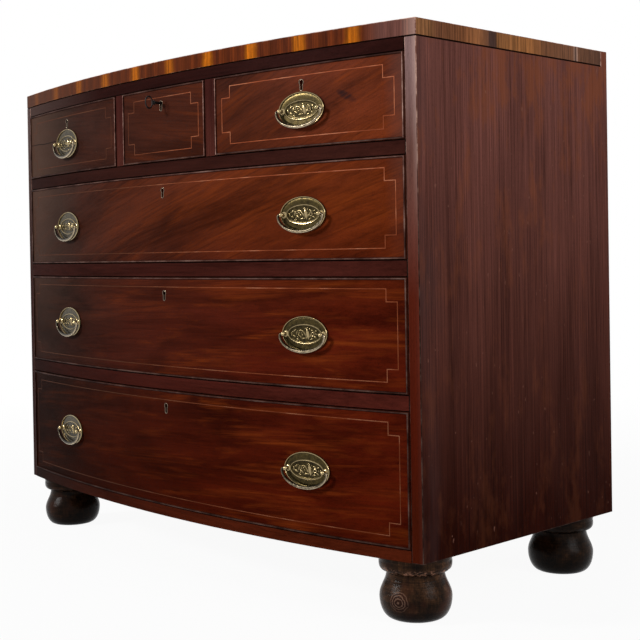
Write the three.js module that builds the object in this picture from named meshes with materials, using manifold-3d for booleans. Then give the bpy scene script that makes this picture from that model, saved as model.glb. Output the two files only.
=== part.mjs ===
// A bow front chest of drawers: three short drawers over three long ones, on turned bun feet.
// Millimetres, +Z up. The front faces -Y, and +X is the right-hand side seen from the front.
// Inside this file y = 0 is the line through the two front corners of the carcase, and the
// finished group is moved along Y so that the origin is under the middle of the whole object.
import * as THREE from 'three';
import { mergeVertices } from 'three/addons/utils/BufferGeometryUtils.js';
import Module from 'manifold-3d';

// Outline of the carcase
const CHEST_WIDTH = 1080;
const SIDE_DEPTH = 488;
const BOW_RISE = 54;
const CHEST_HEIGHT = 883.5;
const FOOT_HEIGHT = 96.5;

// Rails and top, from the bottom up
const BOTTOM_RAIL_HEIGHT = 18;
const LOWER_RAIL_HEIGHT = 23;
const MIDDLE_RAIL_HEIGHT = 24;
const UPPER_RAIL_HEIGHT = 21;
const TOP_RAIL_HEIGHT = 19.5;
const TOP_THICKNESS = 25.5;

// Graduated drawer openings: shares of the height that feet, rails and top leave open, where the
// lowest opening takes what is left
const MIDDLE_OPENING_SHARE = 0.2622;
const UPPER_OPENING_SHARE = 0.2332;
const SHORT_OPENING_SHARE = 0.1966;

// Carcase boards and their joints
const SIDE_THICKNESS = 19;
const BACK_THICKNESS = 9;
const REBATE_WIDTH = 9.5;
const EAR_DEPTH = 18;
const RAIL_BACK = 45;
const BOTTOM_RAIL_BACK = 26;
const REAR_RAIL_WIDTH = 60;
const TENON_THICKNESS = 12;
const TENON_SETBACK = 8;
const HOUSING_DEPTH = 6;

// Posts and guides between the short drawers
const PARTITION_PLACE = 130.5;
const PARTITION_WIDTH = 23.5;
const POST_TENON_WIDTH = 10;
const POST_TENON_LENGTH = 8;
const POST_TENON_FRONT = -20;
const POST_TENON_BACK = 25;
const GUIDE_HEIGHT = 26;

// Drawer stops on the rails
const STOP_WIDTH = 28;
const STOP_DEPTH = 15;
const STOP_HEIGHT = 5;
const LONG_STOP_INSET = 136;
const SHORT_STOP_INSET = 191;

// Drawer boards
const DRAWER_GAP = 1.2;
const FRONT_THICKNESS = 22;
const FRONT_LAP = 8;
const BEAD_WIDTH = 3.2;
const BEAD_PROUD = 1.8;
const BOX_SIDE = 11;
const BOX_SIDE_INSET = 0.5;
const BOX_SIDE_DROP = 3;
const BOX_BACK = 9;
const BOX_BACK_DROP = 9;
const BOX_JOINT = 6;
const REAR_SPACE = 26;
const PANEL_THICKNESS = 6;
const PANEL_LIFT = 9;
const PANEL_GROOVE = 5;

// Oval handles: backplate, posts with threaded shanks and nuts, and bail
const PLATE_HALF_WIDTH = 45;
const PLATE_HALF_HEIGHT = 28;
const PLATE_RELIEF = 2.4;
const POST_PLACE = 37.5;
const POST_REACH = 8.5;
const POST_RADIUS = 3;
const POST_BALL_RADIUS = 3.8;
const SHANK_RADIUS = 2.2;
const SHANK_PAST_NUT = 2;
const NUT_RADIUS = 6;
const NUT_THICKNESS = 3.5;
const BAIL_PIN_RADIUS = 1.6;
const BAIL_WIRE_RADIUS = 2;
const BAIL_MIDDLE_RADIUS = 2.9;
const BAIL_HALF_SPAN = 44.4;
const BAIL_DROP = 26.4;
const BAIL_CORNER = 2.6;
const BAIL_PIN_REACH = 5;
const HANDLE_INSET = 187;
const SHORT_HANDLE_DROP = 6;
const UPPER_HANDLE_DROP = 4.4;
const MIDDLE_HANDLE_DROP = 2.1;
const LOWER_HANDLE_DROP = 1.1;

// Keyholes, and the lock of the centre drawer
const KEYHOLE_DROP = 28;
const KEYHOLE_RADIUS = 2.8;
const KEYHOLE_SLOT_WIDTH = 2.8;
const KEYHOLE_SLOT_LENGTH = 10;
const KEYHOLE_DEPTH = 14;
const LOCK_HALF_WIDTH = 30;
const LOCK_BELOW_KEY = 13;
const LOCK_RECESS = 6;
const LOCK_DEPTH = 13.6;
const LOCK_WALL = 1.6;
const BOLT_HALF_WIDTH = 11;
const BOLT_THICKNESS = 4;
const BOLT_ABOVE_KEY = 4;
const BOLT_TRAVEL = 6;
const BOLT_TALON_NEAR = 4;
const BOLT_TALON_FAR = 10;
const BOLT_TALON_BELOW_KEY = 4;
const BOLT_MORTISE_SPARE = 2;

// Key: pipe shaft, bit and oval bow
const KEY_RADIUS = 2.5;
const KEY_BIT_REACH = 9;
const KEY_BIT_THICKNESS = 2.5;
const KEY_BIT_LENGTH = 4;
const KEY_COLLAR_RADIUS = 4.2;
const KEY_COLLAR_LENGTH = 2.5;
const KEY_SHAFT_OUT = 17;
const KEY_BOW_HALF_HEIGHT = 11.5;
const KEY_BOW_HALF_LENGTH = 8;
const KEY_BOW_WIRE = 1.8;

// Turned feet
const FOOT_SIDE_INSET = 63.4;
const FOOT_FRONT_INSET = 53;
const FOOT_REAR_INSET = 64;
const SOLE_RADIUS = 37;
const BALL_RADIUS = 55;
const BALL_MIDDLE = 32;
const NECK_RADIUS = 44;
const NECK_MIDDLE = 69;
const COLLAR_RADIUS = 55.5;
const COLLAR_BOTTOM = 72;
const COLLAR_ROUND = 9;
const COLLAR_UNDERCUT = 7;
const SPIGOT_RADIUS = 12;
const SPIGOT_LENGTH = 15;

// Seam between glued or housed pieces, clearance of running pieces, overrun of a cut,
// length of one chord of the bow, and the distance within which vertices are one
const SEAM = 0.3;
const CUT = 2;
const BOW_STEP = 60;
const MERGE_DISTANCE = 0.0005;

// Numbers of flats on round work
const FOOT_SIDES = 24;
const PLATE_SIDES = 24;
const POST_SIDES = 8;
const SHAFT_SIDES = 12;
const BAIL_SIDES = 8;
const BAIL_STEPS = 12;
const KEY_BOW_SIDES = 6;
const KEY_BOW_STEPS = 16;
const CORNER_STEPS = 3;
const BALL_STEPS = 4;

// Backplate section, from its middle to its rim: shares of the half width and of the relief
const PLATE_SECTION_SHARES = [
  [0, 1], [0.44, 0.5], [0.52, 0.9], [0.6, 0.45], [0.84, 0.45], [0.92, 1], [1, 0.25],
];

// Lines and levels that follow from the sizes above
const HALF_WIDTH = CHEST_WIDTH / 2;
const INNER = HALF_WIDTH - SIDE_THICKNESS;
const HANDLE_PLACE = INNER - HANDLE_INSET;
const CLOSED_HEIGHTS = [
  FOOT_HEIGHT,
  BOTTOM_RAIL_HEIGHT,
  LOWER_RAIL_HEIGHT,
  MIDDLE_RAIL_HEIGHT,
  UPPER_RAIL_HEIGHT,
  TOP_RAIL_HEIGHT,
  TOP_THICKNESS,
];
const OPEN_HEIGHT = CHEST_HEIGHT - CLOSED_HEIGHTS.reduce((sum, height) => sum + height);
const MIDDLE_OPENING = MIDDLE_OPENING_SHARE * OPEN_HEIGHT;
const UPPER_OPENING = UPPER_OPENING_SHARE * OPEN_HEIGHT;
const SHORT_OPENING = SHORT_OPENING_SHARE * OPEN_HEIGHT;
const LOWER_OPENING = OPEN_HEIGHT - MIDDLE_OPENING - UPPER_OPENING - SHORT_OPENING;
const CARCASE_BOTTOM = FOOT_HEIGHT;
const LOWER_BAY = CARCASE_BOTTOM + BOTTOM_RAIL_HEIGHT;
const LOWER_RAIL = LOWER_BAY + LOWER_OPENING;
const MIDDLE_BAY = LOWER_RAIL + LOWER_RAIL_HEIGHT;
const MIDDLE_RAIL = MIDDLE_BAY + MIDDLE_OPENING;
const UPPER_BAY = MIDDLE_RAIL + MIDDLE_RAIL_HEIGHT;
const UPPER_RAIL = UPPER_BAY + UPPER_OPENING;
const SHORT_BAY = UPPER_RAIL + UPPER_RAIL_HEIGHT;
const TOP_RAIL = SHORT_BAY + SHORT_OPENING;
const TOP_UNDERSIDE = TOP_RAIL + TOP_RAIL_HEIGHT;
const CARCASE_TOP = TOP_UNDERSIDE + TOP_THICKNESS;
const BACK_LINE = SIDE_DEPTH - BACK_THICKNESS - SEAM;
const DRAWER_REAR = SIDE_DEPTH - REAR_SPACE;
const BOW_RADIUS = (HALF_WIDTH ** 2 + BOW_RISE ** 2) / (2 * BOW_RISE);
const BOW_CENTRE = BOW_RADIUS - BOW_RISE;

// Materials
function finish(color, roughness, metalness) {
  return new THREE.MeshStandardMaterial({ color, roughness, metalness });
}

const FINISHES = {
  mahogany: finish(0x5a2416, 0.32, 0),
  pine: finish(0x8f6a42, 0.75, 0),
  oak: finish(0x7d5a38, 0.7, 0),
  brass: finish(0x8a7a45, 0.35, 1),
  iron: finish(0x2c2a28, 0.5, 1),
  ebonised: finish(0x17110e, 0.4, 0),
};

// Solids and their boolean joins and cuts
const wasm = await Module();
wasm.setup();

function toSolid(geometry) {
  const bare = geometry.clone();
  bare.deleteAttribute('normal');
  bare.deleteAttribute('uv');
  const merged = mergeVertices(bare, MERGE_DISTANCE);
  const vertProperties = new Float32Array(merged.attributes.position.array);
  const triVerts = new Uint32Array(merged.index.array);
  return new wasm.Manifold(new wasm.Mesh({ numProp: 3, vertProperties, triVerts }));
}

function toGeometry(solid) {
  const mesh = solid.getMesh();
  const geometry = new THREE.BufferGeometry();
  geometry.setAttribute('position', new THREE.BufferAttribute(mesh.vertProperties, 3));
  geometry.setIndex(new THREE.BufferAttribute(mesh.triVerts, 1));
  geometry.computeVertexNormals();
  return geometry;
}

function joined(solids) {
  return solids.reduce((sum, solid) => sum.add(solid));
}

function without(solid, cuts) {
  return cuts.reduce((rest, cut) => rest.subtract(cut), solid);
}

// A square-edged board between two limits on each axis
function block(x, y, z) {
  const geometry = new THREE.BoxGeometry(x[1] - x[0], y[1] - y[0], z[1] - z[0]);
  geometry.translate((x[0] + x[1]) / 2, (y[0] + y[1]) / 2, (z[0] + z[1]) / 2);
  return toSolid(geometry);
}

// A range of x on the left (-1) or right (+1) hand, from near the middle to far from it
function handed(hand, near, far) {
  return hand > 0 ? [near, far] : [-far, -near];
}

function centred(middle, halfWidth) {
  return [middle - halfWidth, middle + halfWidth];
}

// Depth of the bowed front at x, with an inset square to the surface
function bowY(x, inset = 0) {
  return BOW_CENTRE - Math.sqrt((BOW_RADIUS - inset) ** 2 - x ** 2);
}

// A slab whose front follows the bow, and whose back follows it too or is straight
function bowedSlab({ x, z, inset = 0, backInset = null, backY = null }) {
  const steps = Math.ceil((x[1] - x[0]) / BOW_STEP);
  const front = [];
  const back = [];
  for (let i = 0; i <= steps; i++) {
    const at = x[0] + ((x[1] - x[0]) * i) / steps;
    front.push(new THREE.Vector2(at, bowY(at, inset)));
    if (backInset !== null) back.unshift(new THREE.Vector2(at, bowY(at, backInset)));
  }
  if (backInset === null) back.push(new THREE.Vector2(x[1], backY), new THREE.Vector2(x[0], backY));
  const outline = new THREE.Shape([...front, ...back]);
  const geometry = new THREE.ExtrudeGeometry(outline, { depth: z[1] - z[0], bevelEnabled: false });
  geometry.translate(0, 0, z[0]);
  return toSolid(geometry);
}

// A round bar along Y, turned about Z by an angle, with its middle at a point
function barAlongNormal(radius, length, sides, angle, middle) {
  const geometry = new THREE.CylinderGeometry(radius, radius, length, sides);
  geometry.rotateZ(angle);
  geometry.translate(middle.x, middle.y, middle.z);
  return toSolid(geometry);
}

function uprightBar(radius, x, y, z) {
  const geometry = new THREE.CylinderGeometry(radius, radius, z[1] - z[0], FOOT_SIDES);
  geometry.rotateX(Math.PI / 2);
  geometry.translate(x, y, (z[0] + z[1]) / 2);
  return toSolid(geometry);
}

// A round wire of changing thickness along points in the XZ plane
function wire(points, radii, sides) {
  const positions = [];
  const faces = [];
  const last = points.length - 1;
  points.forEach((point, i) => {
    const ahead = points[Math.min(i + 1, last)];
    const behind = points[Math.max(i - 1, 0)];
    const run = new THREE.Vector2(ahead.x - behind.x, ahead.y - behind.y).normalize();
    for (let k = 0; k < sides; k++) {
      const turn = (2 * Math.PI * k) / sides;
      const across = radii[i] * Math.cos(turn);
      positions.push(point.x - run.y * across, radii[i] * Math.sin(turn), point.y + run.x * across);
    }
  });
  const ring = (i, k) => i * sides + (k % sides);
  for (let i = 0; i < last; i++) {
    for (let k = 0; k < sides; k++) {
      faces.push(ring(i, k), ring(i + 1, k), ring(i, k + 1));
      faces.push(ring(i, k + 1), ring(i + 1, k), ring(i + 1, k + 1));
    }
  }
  for (let k = 1; k < sides - 1; k++) {
    faces.push(ring(0, 0), ring(0, k), ring(0, k + 1));
    faces.push(ring(last, 0), ring(last, k + 1), ring(last, k));
  }
  const geometry = new THREE.BufferGeometry();
  geometry.setAttribute('position', new THREE.Float32BufferAttribute(positions, 3));
  geometry.setIndex(faces);
  geometry.computeVertexNormals();
  return geometry;
}

const chest = new THREE.Group();
chest.name = 'bow_front_chest';

function place(name, geometry, material, parent = chest) {
  const mesh = new THREE.Mesh(geometry, FINISHES[material]);
  mesh.name = name;
  parent.add(mesh);
  return mesh;
}

// Carcase sides: the front edge follows the bow, a rebate takes the back boards, housings take
// the rails and dustboards, and a strip at the rear runs up to the level of the top
const HOUSING_LEVELS = [
  CARCASE_BOTTOM + (BOTTOM_RAIL_HEIGHT - TENON_THICKNESS) / 2,
  MIDDLE_BAY - TENON_THICKNESS,
  UPPER_BAY - TENON_THICKNESS,
  SHORT_BAY - TENON_THICKNESS,
];

function carcaseSide(hand) {
  const board = bowedSlab({
    x: handed(hand, INNER, HALF_WIDTH),
    z: [CARCASE_BOTTOM, TOP_UNDERSIDE - SEAM],
    backY: SIDE_DEPTH,
  });
  const ear = block(
    handed(hand, INNER, HALF_WIDTH),
    [SIDE_DEPTH - EAR_DEPTH, SIDE_DEPTH],
    [TOP_UNDERSIDE - SEAM - CUT, CARCASE_TOP],
  );
  const rebate = block(
    handed(hand, INNER - CUT, INNER + REBATE_WIDTH),
    [BACK_LINE, SIDE_DEPTH + CUT],
    [CARCASE_BOTTOM - CUT, TOP_UNDERSIDE - SEAM],
  );
  const housings = HOUSING_LEVELS.map((level) => block(
    handed(hand, INNER - CUT, INNER + HOUSING_DEPTH),
    [TENON_SETBACK - SEAM, BACK_LINE + CUT],
    [level - SEAM, level + TENON_THICKNESS + SEAM],
  ));
  const laps = [
    [TENON_SETBACK - SEAM, RAIL_BACK + SEAM],
    [BACK_LINE - REAR_RAIL_WIDTH - SEAM, SIDE_DEPTH - EAR_DEPTH],
  ].map((y) => block(
    handed(hand, INNER - CUT, INNER + HOUSING_DEPTH),
    y,
    [TOP_UNDERSIDE - SEAM - TENON_THICKNESS - SEAM, TOP_UNDERSIDE - SEAM + CUT],
  ));
  const notched = without(board, [...housings, ...laps]);
  return without(joined([notched, ear]), [rebate]);
}

place('carcase_side_left', toGeometry(carcaseSide(-1)), 'mahogany');
place('carcase_side_right', toGeometry(carcaseSide(1)), 'mahogany');

// Top board, notched at its rear corners for the strips of the sides
function topBoard() {
  const z = [TOP_UNDERSIDE, CARCASE_TOP];
  const board = bowedSlab({ x: [-HALF_WIDTH, HALF_WIDTH], z, backY: SIDE_DEPTH });
  const notches = [-1, 1].map((hand) => block(
    handed(hand, INNER - SEAM, HALF_WIDTH + CUT),
    [SIDE_DEPTH - EAR_DEPTH - SEAM, SIDE_DEPTH + CUT],
    [z[0] - CUT, z[1] + CUT],
  ));
  return without(board, notches);
}

place('top_board', toGeometry(topBoard()), 'mahogany');

// Bottom board: tongued into the sides, and bored for the spigots of the feet
const FOOT_PLACES = [
  { name: 'foot_front_left', x: -(HALF_WIDTH - FOOT_SIDE_INSET), y: FOOT_FRONT_INSET },
  { name: 'foot_front_right', x: HALF_WIDTH - FOOT_SIDE_INSET, y: FOOT_FRONT_INSET },
  { name: 'foot_rear_left', x: -(HALF_WIDTH - FOOT_SIDE_INSET), y: SIDE_DEPTH - FOOT_REAR_INSET },
  { name: 'foot_rear_right', x: HALF_WIDTH - FOOT_SIDE_INSET, y: SIDE_DEPTH - FOOT_REAR_INSET },
];

function bottomBoard() {
  const y = [BOTTOM_RAIL_BACK + SEAM, BACK_LINE];
  const board = block([-INNER + SEAM, INNER - SEAM], y, [CARCASE_BOTTOM, LOWER_BAY]);
  const reach = INNER + HOUSING_DEPTH - SEAM;
  const tongue = block([-reach, reach], y, [HOUSING_LEVELS[0], HOUSING_LEVELS[0] + TENON_THICKNESS]);
  const bores = FOOT_PLACES.map((foot) => uprightBar(
    SPIGOT_RADIUS + SEAM,
    foot.x,
    foot.y,
    [CARCASE_BOTTOM - CUT, CARCASE_BOTTOM + SPIGOT_LENGTH + SEAM],
  ));
  return without(joined([board, tongue]), bores);
}

place('bottom_board', toGeometry(bottomBoard()), 'pine');

// Back boards, one above the other in the rebates
function backBoard(z) {
  const reach = INNER + REBATE_WIDTH - SEAM;
  return block([-reach, reach], [SIDE_DEPTH - BACK_THICKNESS, SIDE_DEPTH], z);
}

const BACK_JOINT = (CARCASE_BOTTOM + TOP_UNDERSIDE) / 2;
place('back_board_lower', toGeometry(backBoard([CARCASE_BOTTOM, BACK_JOINT - SEAM])), 'pine');
place('back_board_upper', toGeometry(backBoard([BACK_JOINT, TOP_UNDERSIDE - SEAM - SEAM])), 'pine');

// Rails between the sides: a bowed front, a straight back and a tenon at each end
function railBody(z, backY, tenonBottom) {
  const body = bowedSlab({ x: [-INNER + SEAM, INNER - SEAM], z, backY });
  const reach = INNER + HOUSING_DEPTH - SEAM;
  const tenons = block([-reach, reach], [TENON_SETBACK, backY], [tenonBottom, tenonBottom + TENON_THICKNESS]);
  return joined([body, tenons]);
}

// A block glued on a rail, where the back of a drawer front stops
function stopBlock(middle, level) {
  const far = Math.abs(middle) + STOP_WIDTH / 2;
  const front = bowY(far, FRONT_THICKNESS) + SEAM;
  const depth = [front, front + STOP_DEPTH];
  return block(centred(middle, STOP_WIDTH / 2), depth, [level - CUT, level + STOP_HEIGHT]);
}

function stoppedRail(z, backY, tenonBottom, stops) {
  return joined([railBody(z, backY, tenonBottom), ...stops.map((stop) => stopBlock(stop, z[1]))]);
}

const LONG_STOPS = [LONG_STOP_INSET - INNER, INNER - LONG_STOP_INSET];
const SHORT_STOPS = [SHORT_STOP_INSET - INNER, 0, INNER - SHORT_STOP_INSET];
const PARTITION_PLACES = [-PARTITION_PLACE, PARTITION_PLACE];

// Mortises for the tenons of the partition posts, above or below a level
function postMortises(z) {
  return PARTITION_PLACES.map((middle) => block(
    centred(middle, POST_TENON_WIDTH / 2 + SEAM),
    [POST_TENON_FRONT - SEAM, POST_TENON_BACK + SEAM],
    z,
  ));
}

const upperRail = without(
  stoppedRail([UPPER_RAIL, SHORT_BAY], RAIL_BACK, HOUSING_LEVELS[3], SHORT_STOPS),
  postMortises([SHORT_BAY - POST_TENON_LENGTH - SEAM, SHORT_BAY + CUT]),
);
const middleRail = stoppedRail([MIDDLE_RAIL, UPPER_BAY], RAIL_BACK, HOUSING_LEVELS[2], LONG_STOPS);
const lowerRail = stoppedRail([LOWER_RAIL, MIDDLE_BAY], RAIL_BACK, HOUSING_LEVELS[1], LONG_STOPS);
const bottomRail = stoppedRail([CARCASE_BOTTOM, LOWER_BAY], BOTTOM_RAIL_BACK, HOUSING_LEVELS[0], LONG_STOPS);
place('divider_rail_upper', toGeometry(upperRail), 'mahogany');
place('divider_rail_middle', toGeometry(middleRail), 'mahogany');
place('divider_rail_lower', toGeometry(lowerRail), 'mahogany');
place('bottom_rail', toGeometry(bottomRail), 'mahogany');

// Lock of the centre drawer, from the front inwards: case, bit of the key, bolt plate
const KEY_LEVEL = TOP_RAIL - KEYHOLE_DROP;
const DRAWER_TOP_LEVEL = TOP_RAIL - DRAWER_GAP;
const FRONT_FACE = bowY(0);
const LOCK_FRONT = bowY(0, FRONT_THICKNESS - LOCK_RECESS) + SEAM;
const CAVITY = [LOCK_FRONT + LOCK_WALL, LOCK_FRONT + LOCK_DEPTH - LOCK_WALL];
const BIT = [CAVITY[0] + SEAM, CAVITY[0] + SEAM + KEY_BIT_LENGTH];
const BOLT = [CAVITY[1] - SEAM - BOLT_THICKNESS, CAVITY[1] - SEAM];

// Top rails, lapped into the sides from above, and the front one mortised for posts and bolt
const LAP_LEVEL = TOP_UNDERSIDE - SEAM - TENON_THICKNESS;

function topFrontRail() {
  const rail = railBody([TOP_RAIL, TOP_UNDERSIDE - SEAM], RAIL_BACK, LAP_LEVEL);
  const boltMortise = block(
    centred(0, BOLT_HALF_WIDTH + SEAM),
    [BOLT[0] - SEAM, BOLT[1] + SEAM],
    [TOP_RAIL - CUT, TOP_RAIL + BOLT_TRAVEL + BOLT_MORTISE_SPARE],
  );
  return without(rail, [...postMortises([TOP_RAIL - CUT, TOP_RAIL + POST_TENON_LENGTH + SEAM]), boltMortise]);
}

function topRearRail() {
  const front = BACK_LINE - REAR_RAIL_WIDTH;
  const body = block([-INNER + SEAM, INNER - SEAM], [front, BACK_LINE], [TOP_RAIL, TOP_UNDERSIDE - SEAM]);
  const reach = INNER + HOUSING_DEPTH - SEAM;
  const laps = block(
    [-reach, reach],
    [front, SIDE_DEPTH - EAR_DEPTH - SEAM],
    [LAP_LEVEL, LAP_LEVEL + TENON_THICKNESS],
  );
  return joined([body, laps]);
}

place('top_front_rail', toGeometry(topFrontRail()), 'mahogany');
place('top_rear_rail', toGeometry(topRearRail()), 'pine');

// Dustboards, slid into the housings behind the divider rails
function dustboard(level) {
  const reach = INNER + HOUSING_DEPTH - SEAM;
  return block([-reach, reach], [RAIL_BACK + SEAM, BACK_LINE], [level, level + TENON_THICKNESS]);
}

place('dustboard_lower', toGeometry(dustboard(HOUSING_LEVELS[1])), 'pine');
place('dustboard_middle', toGeometry(dustboard(HOUSING_LEVELS[2])), 'pine');
place('dustboard_upper', toGeometry(dustboard(HOUSING_LEVELS[3])), 'pine');

// Posts between the short drawers, tenoned into both rails, and the guide strips behind them
function partitionPost(middle) {
  const post = bowedSlab({
    x: centred(middle, PARTITION_WIDTH / 2),
    z: [SHORT_BAY + SEAM, TOP_RAIL - SEAM],
    backY: RAIL_BACK,
  });
  const tenons = block(
    centred(middle, POST_TENON_WIDTH / 2),
    [POST_TENON_FRONT, POST_TENON_BACK],
    [SHORT_BAY - POST_TENON_LENGTH, TOP_RAIL + POST_TENON_LENGTH],
  );
  return joined([post, tenons]);
}

function partitionGuide(middle) {
  const z = [SHORT_BAY + SEAM, SHORT_BAY + GUIDE_HEIGHT];
  return block(centred(middle, PARTITION_WIDTH / 2), [RAIL_BACK + SEAM, BACK_LINE], z);
}

place('partition_post_left', toGeometry(partitionPost(-PARTITION_PLACE)), 'mahogany');
place('partition_post_right', toGeometry(partitionPost(PARTITION_PLACE)), 'mahogany');
place('partition_guide_left', toGeometry(partitionGuide(-PARTITION_PLACE)), 'pine');
place('partition_guide_right', toGeometry(partitionGuide(PARTITION_PLACE)), 'pine');

// Turned feet: sole, flattened ball, neck, collar and spigot in one piece
function footProfile() {
  const points = [new THREE.Vector2(0, 0)];
  for (let i = 0; i <= BALL_STEPS; i++) {
    const turn = (Math.PI / 2) * (i / BALL_STEPS);
    const radius = SOLE_RADIUS + (BALL_RADIUS - SOLE_RADIUS) * Math.sin(turn);
    points.push(new THREE.Vector2(radius, BALL_MIDDLE * (1 - Math.cos(turn))));
  }
  for (let i = 1; i <= BALL_STEPS; i++) {
    const share = i / BALL_STEPS;
    const radius = BALL_RADIUS - (BALL_RADIUS - NECK_RADIUS) * (1 - Math.cos(Math.PI * share)) / 2;
    points.push(new THREE.Vector2(radius, BALL_MIDDLE + (NECK_MIDDLE - BALL_MIDDLE) * share));
  }
  for (let i = 0; i <= CORNER_STEPS; i++) {
    const turn = (Math.PI / 2) * (i / CORNER_STEPS);
    const radius = COLLAR_RADIUS - COLLAR_UNDERCUT * (1 - Math.sin(turn));
    points.push(new THREE.Vector2(radius, COLLAR_BOTTOM + COLLAR_ROUND * (1 - Math.cos(turn))));
  }
  points.push(new THREE.Vector2(COLLAR_RADIUS, FOOT_HEIGHT - SEAM));
  points.push(new THREE.Vector2(SPIGOT_RADIUS, FOOT_HEIGHT - SEAM));
  points.push(new THREE.Vector2(SPIGOT_RADIUS, FOOT_HEIGHT + SPIGOT_LENGTH));
  points.push(new THREE.Vector2(0, FOOT_HEIGHT + SPIGOT_LENGTH));
  return points;
}

for (const foot of FOOT_PLACES) {
  const geometry = new THREE.LatheGeometry(footProfile(), FOOT_SIDES);
  geometry.rotateX(Math.PI / 2);
  place(foot.name, geometry, 'ebonised').position.set(foot.x, foot.y, 0);
}

// Where a handle or keyhole sits on the bow: the point on the face and the turn about Z
function bowPlace(x, z) {
  return { angle: Math.asin(x / BOW_RADIUS), point: new THREE.Vector3(x, bowY(x), z) };
}

// A point given by its distance along the face, its depth behind it and its height
function bowPoint(seat, along, depth) {
  const offset = new THREE.Vector3(along, depth, 0).applyAxisAngle(new THREE.Vector3(0, 0, 1), seat.angle);
  return seat.point.clone().add(offset);
}

// The cut of a keyhole, from in front of the face to a depth behind it
function keyholeCut(x, z, y) {
  const middle = new THREE.Vector3(x, (y[0] + y[1]) / 2, z);
  const hole = barAlongNormal(KEYHOLE_RADIUS, y[1] - y[0], SHAFT_SIDES, 0, middle);
  const slot = block(centred(x, KEYHOLE_SLOT_WIDTH / 2), y, [z - KEYHOLE_SLOT_LENGTH, z]);
  return joined([hole, slot]);
}

// The bores of a handle's two shanks through a drawer front
function shankBores(seat) {
  const length = FRONT_THICKNESS + CUT + CUT;
  return [-POST_PLACE, POST_PLACE].map((along) => barAlongNormal(
    SHANK_RADIUS + SEAM,
    length,
    POST_SIDES,
    seat.angle,
    bowPoint(seat, along, FRONT_THICKNESS / 2),
  ));
}

// One drawer: a bowed front with raised cock beads, a box of two sides and a back, and a bottom
function drawer({ name, x, bay, keyX, handles, handleLevel, lock }) {
  const width = [x[0] + DRAWER_GAP, x[1] - DRAWER_GAP];
  const height = [bay[0] + DRAWER_GAP, bay[1] - DRAWER_GAP];
  const box = [width[0] + BOX_SIDE_INSET, width[1] - BOX_SIDE_INSET];
  const sideHeight = [bay[0] + SEAM, height[1] - BOX_SIDE_DROP];
  const panelLevel = height[0] + PANEL_LIFT;
  const panelWidth = [box[0] + BOX_SIDE - PANEL_GROOVE + SEAM, box[1] - BOX_SIDE + PANEL_GROOVE - SEAM];
  const panelSlot = [panelLevel - SEAM, panelLevel + PANEL_THICKNESS + SEAM];
  const keyLevel = bay[1] - KEYHOLE_DROP;

  const blank = bowedSlab({ x: width, z: height, inset: -BEAD_PROUD, backInset: FRONT_THICKNESS });
  const field = bowedSlab({
    x: [width[0] + BEAD_WIDTH, width[1] - BEAD_WIDTH],
    z: [height[0] + BEAD_WIDTH, height[1] - BEAD_WIDTH],
    inset: -BEAD_PROUD - CUT,
    backInset: 0,
  });
  const laps = [
    [width[0] - CUT, box[0] + BOX_SIDE + SEAM],
    [box[1] - BOX_SIDE - SEAM, width[1] + CUT],
  ].map((range) => bowedSlab({
    x: range,
    z: [height[0] - CUT, sideHeight[1] + SEAM],
    inset: FRONT_LAP,
    backInset: FRONT_THICKNESS + CUT,
  }));
  const groove = bowedSlab({
    x: [panelWidth[0] - SEAM, panelWidth[1] + SEAM],
    z: panelSlot,
    inset: FRONT_THICKNESS - PANEL_GROOVE,
    backInset: FRONT_THICKNESS + CUT,
  });
  const face = bowY(keyX);
  const keyhole = keyholeCut(keyX, keyLevel, [
    face - CUT,
    lock ? face + FRONT_THICKNESS : face + KEYHOLE_DEPTH,
  ]);
  const seats = handles.map((at) => bowPlace(at, handleLevel));
  const bores = seats.flatMap(shankBores);
  const recess = lock ? [block(
    centred(0, LOCK_HALF_WIDTH + SEAM),
    [LOCK_FRONT - SEAM, FRONT_FACE + FRONT_THICKNESS + CUT],
    [KEY_LEVEL - LOCK_BELOW_KEY - SEAM, height[1] + CUT],
  )] : [];
  const front = without(blank, [field, ...laps, groove, keyhole, ...bores, ...recess]);
  place(`${name}_front`, toGeometry(front), 'mahogany');

  const sides = [
    [box[0], box[0] + BOX_SIDE],
    [box[1] - BOX_SIDE, box[1]],
  ].map((range) => bowedSlab({ x: range, z: sideHeight, inset: FRONT_LAP + SEAM, backY: DRAWER_REAR }));
  const back = block(
    [box[0] + BOX_SIDE - BOX_JOINT, box[1] - BOX_SIDE + BOX_JOINT],
    [DRAWER_REAR - BOX_BACK, DRAWER_REAR],
    [panelSlot[1], height[1] - BOX_BACK_DROP],
  );
  const grooves = block(
    [panelWidth[0] - SEAM, panelWidth[1] + SEAM],
    [FRONT_FACE - CUT, DRAWER_REAR + CUT],
    panelSlot,
  );
  place(`${name}_box`, toGeometry(without(joined([...sides, back]), [grooves])), 'oak');

  const panel = bowedSlab({
    x: panelWidth,
    z: [panelLevel, panelLevel + PANEL_THICKNESS],
    inset: FRONT_THICKNESS - PANEL_GROOVE + SEAM,
    backY: DRAWER_REAR,
  });
  place(`${name}_bottom`, toGeometry(panel), 'oak');

  seats.forEach((seat, i) => {
    const side = handles.length > 1 ? ['_left', '_right'][i] : '';
    placeHandle(`${name}_handle_plate${side}`, `${name}_bail${side}`, seat);
  });
}

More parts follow.
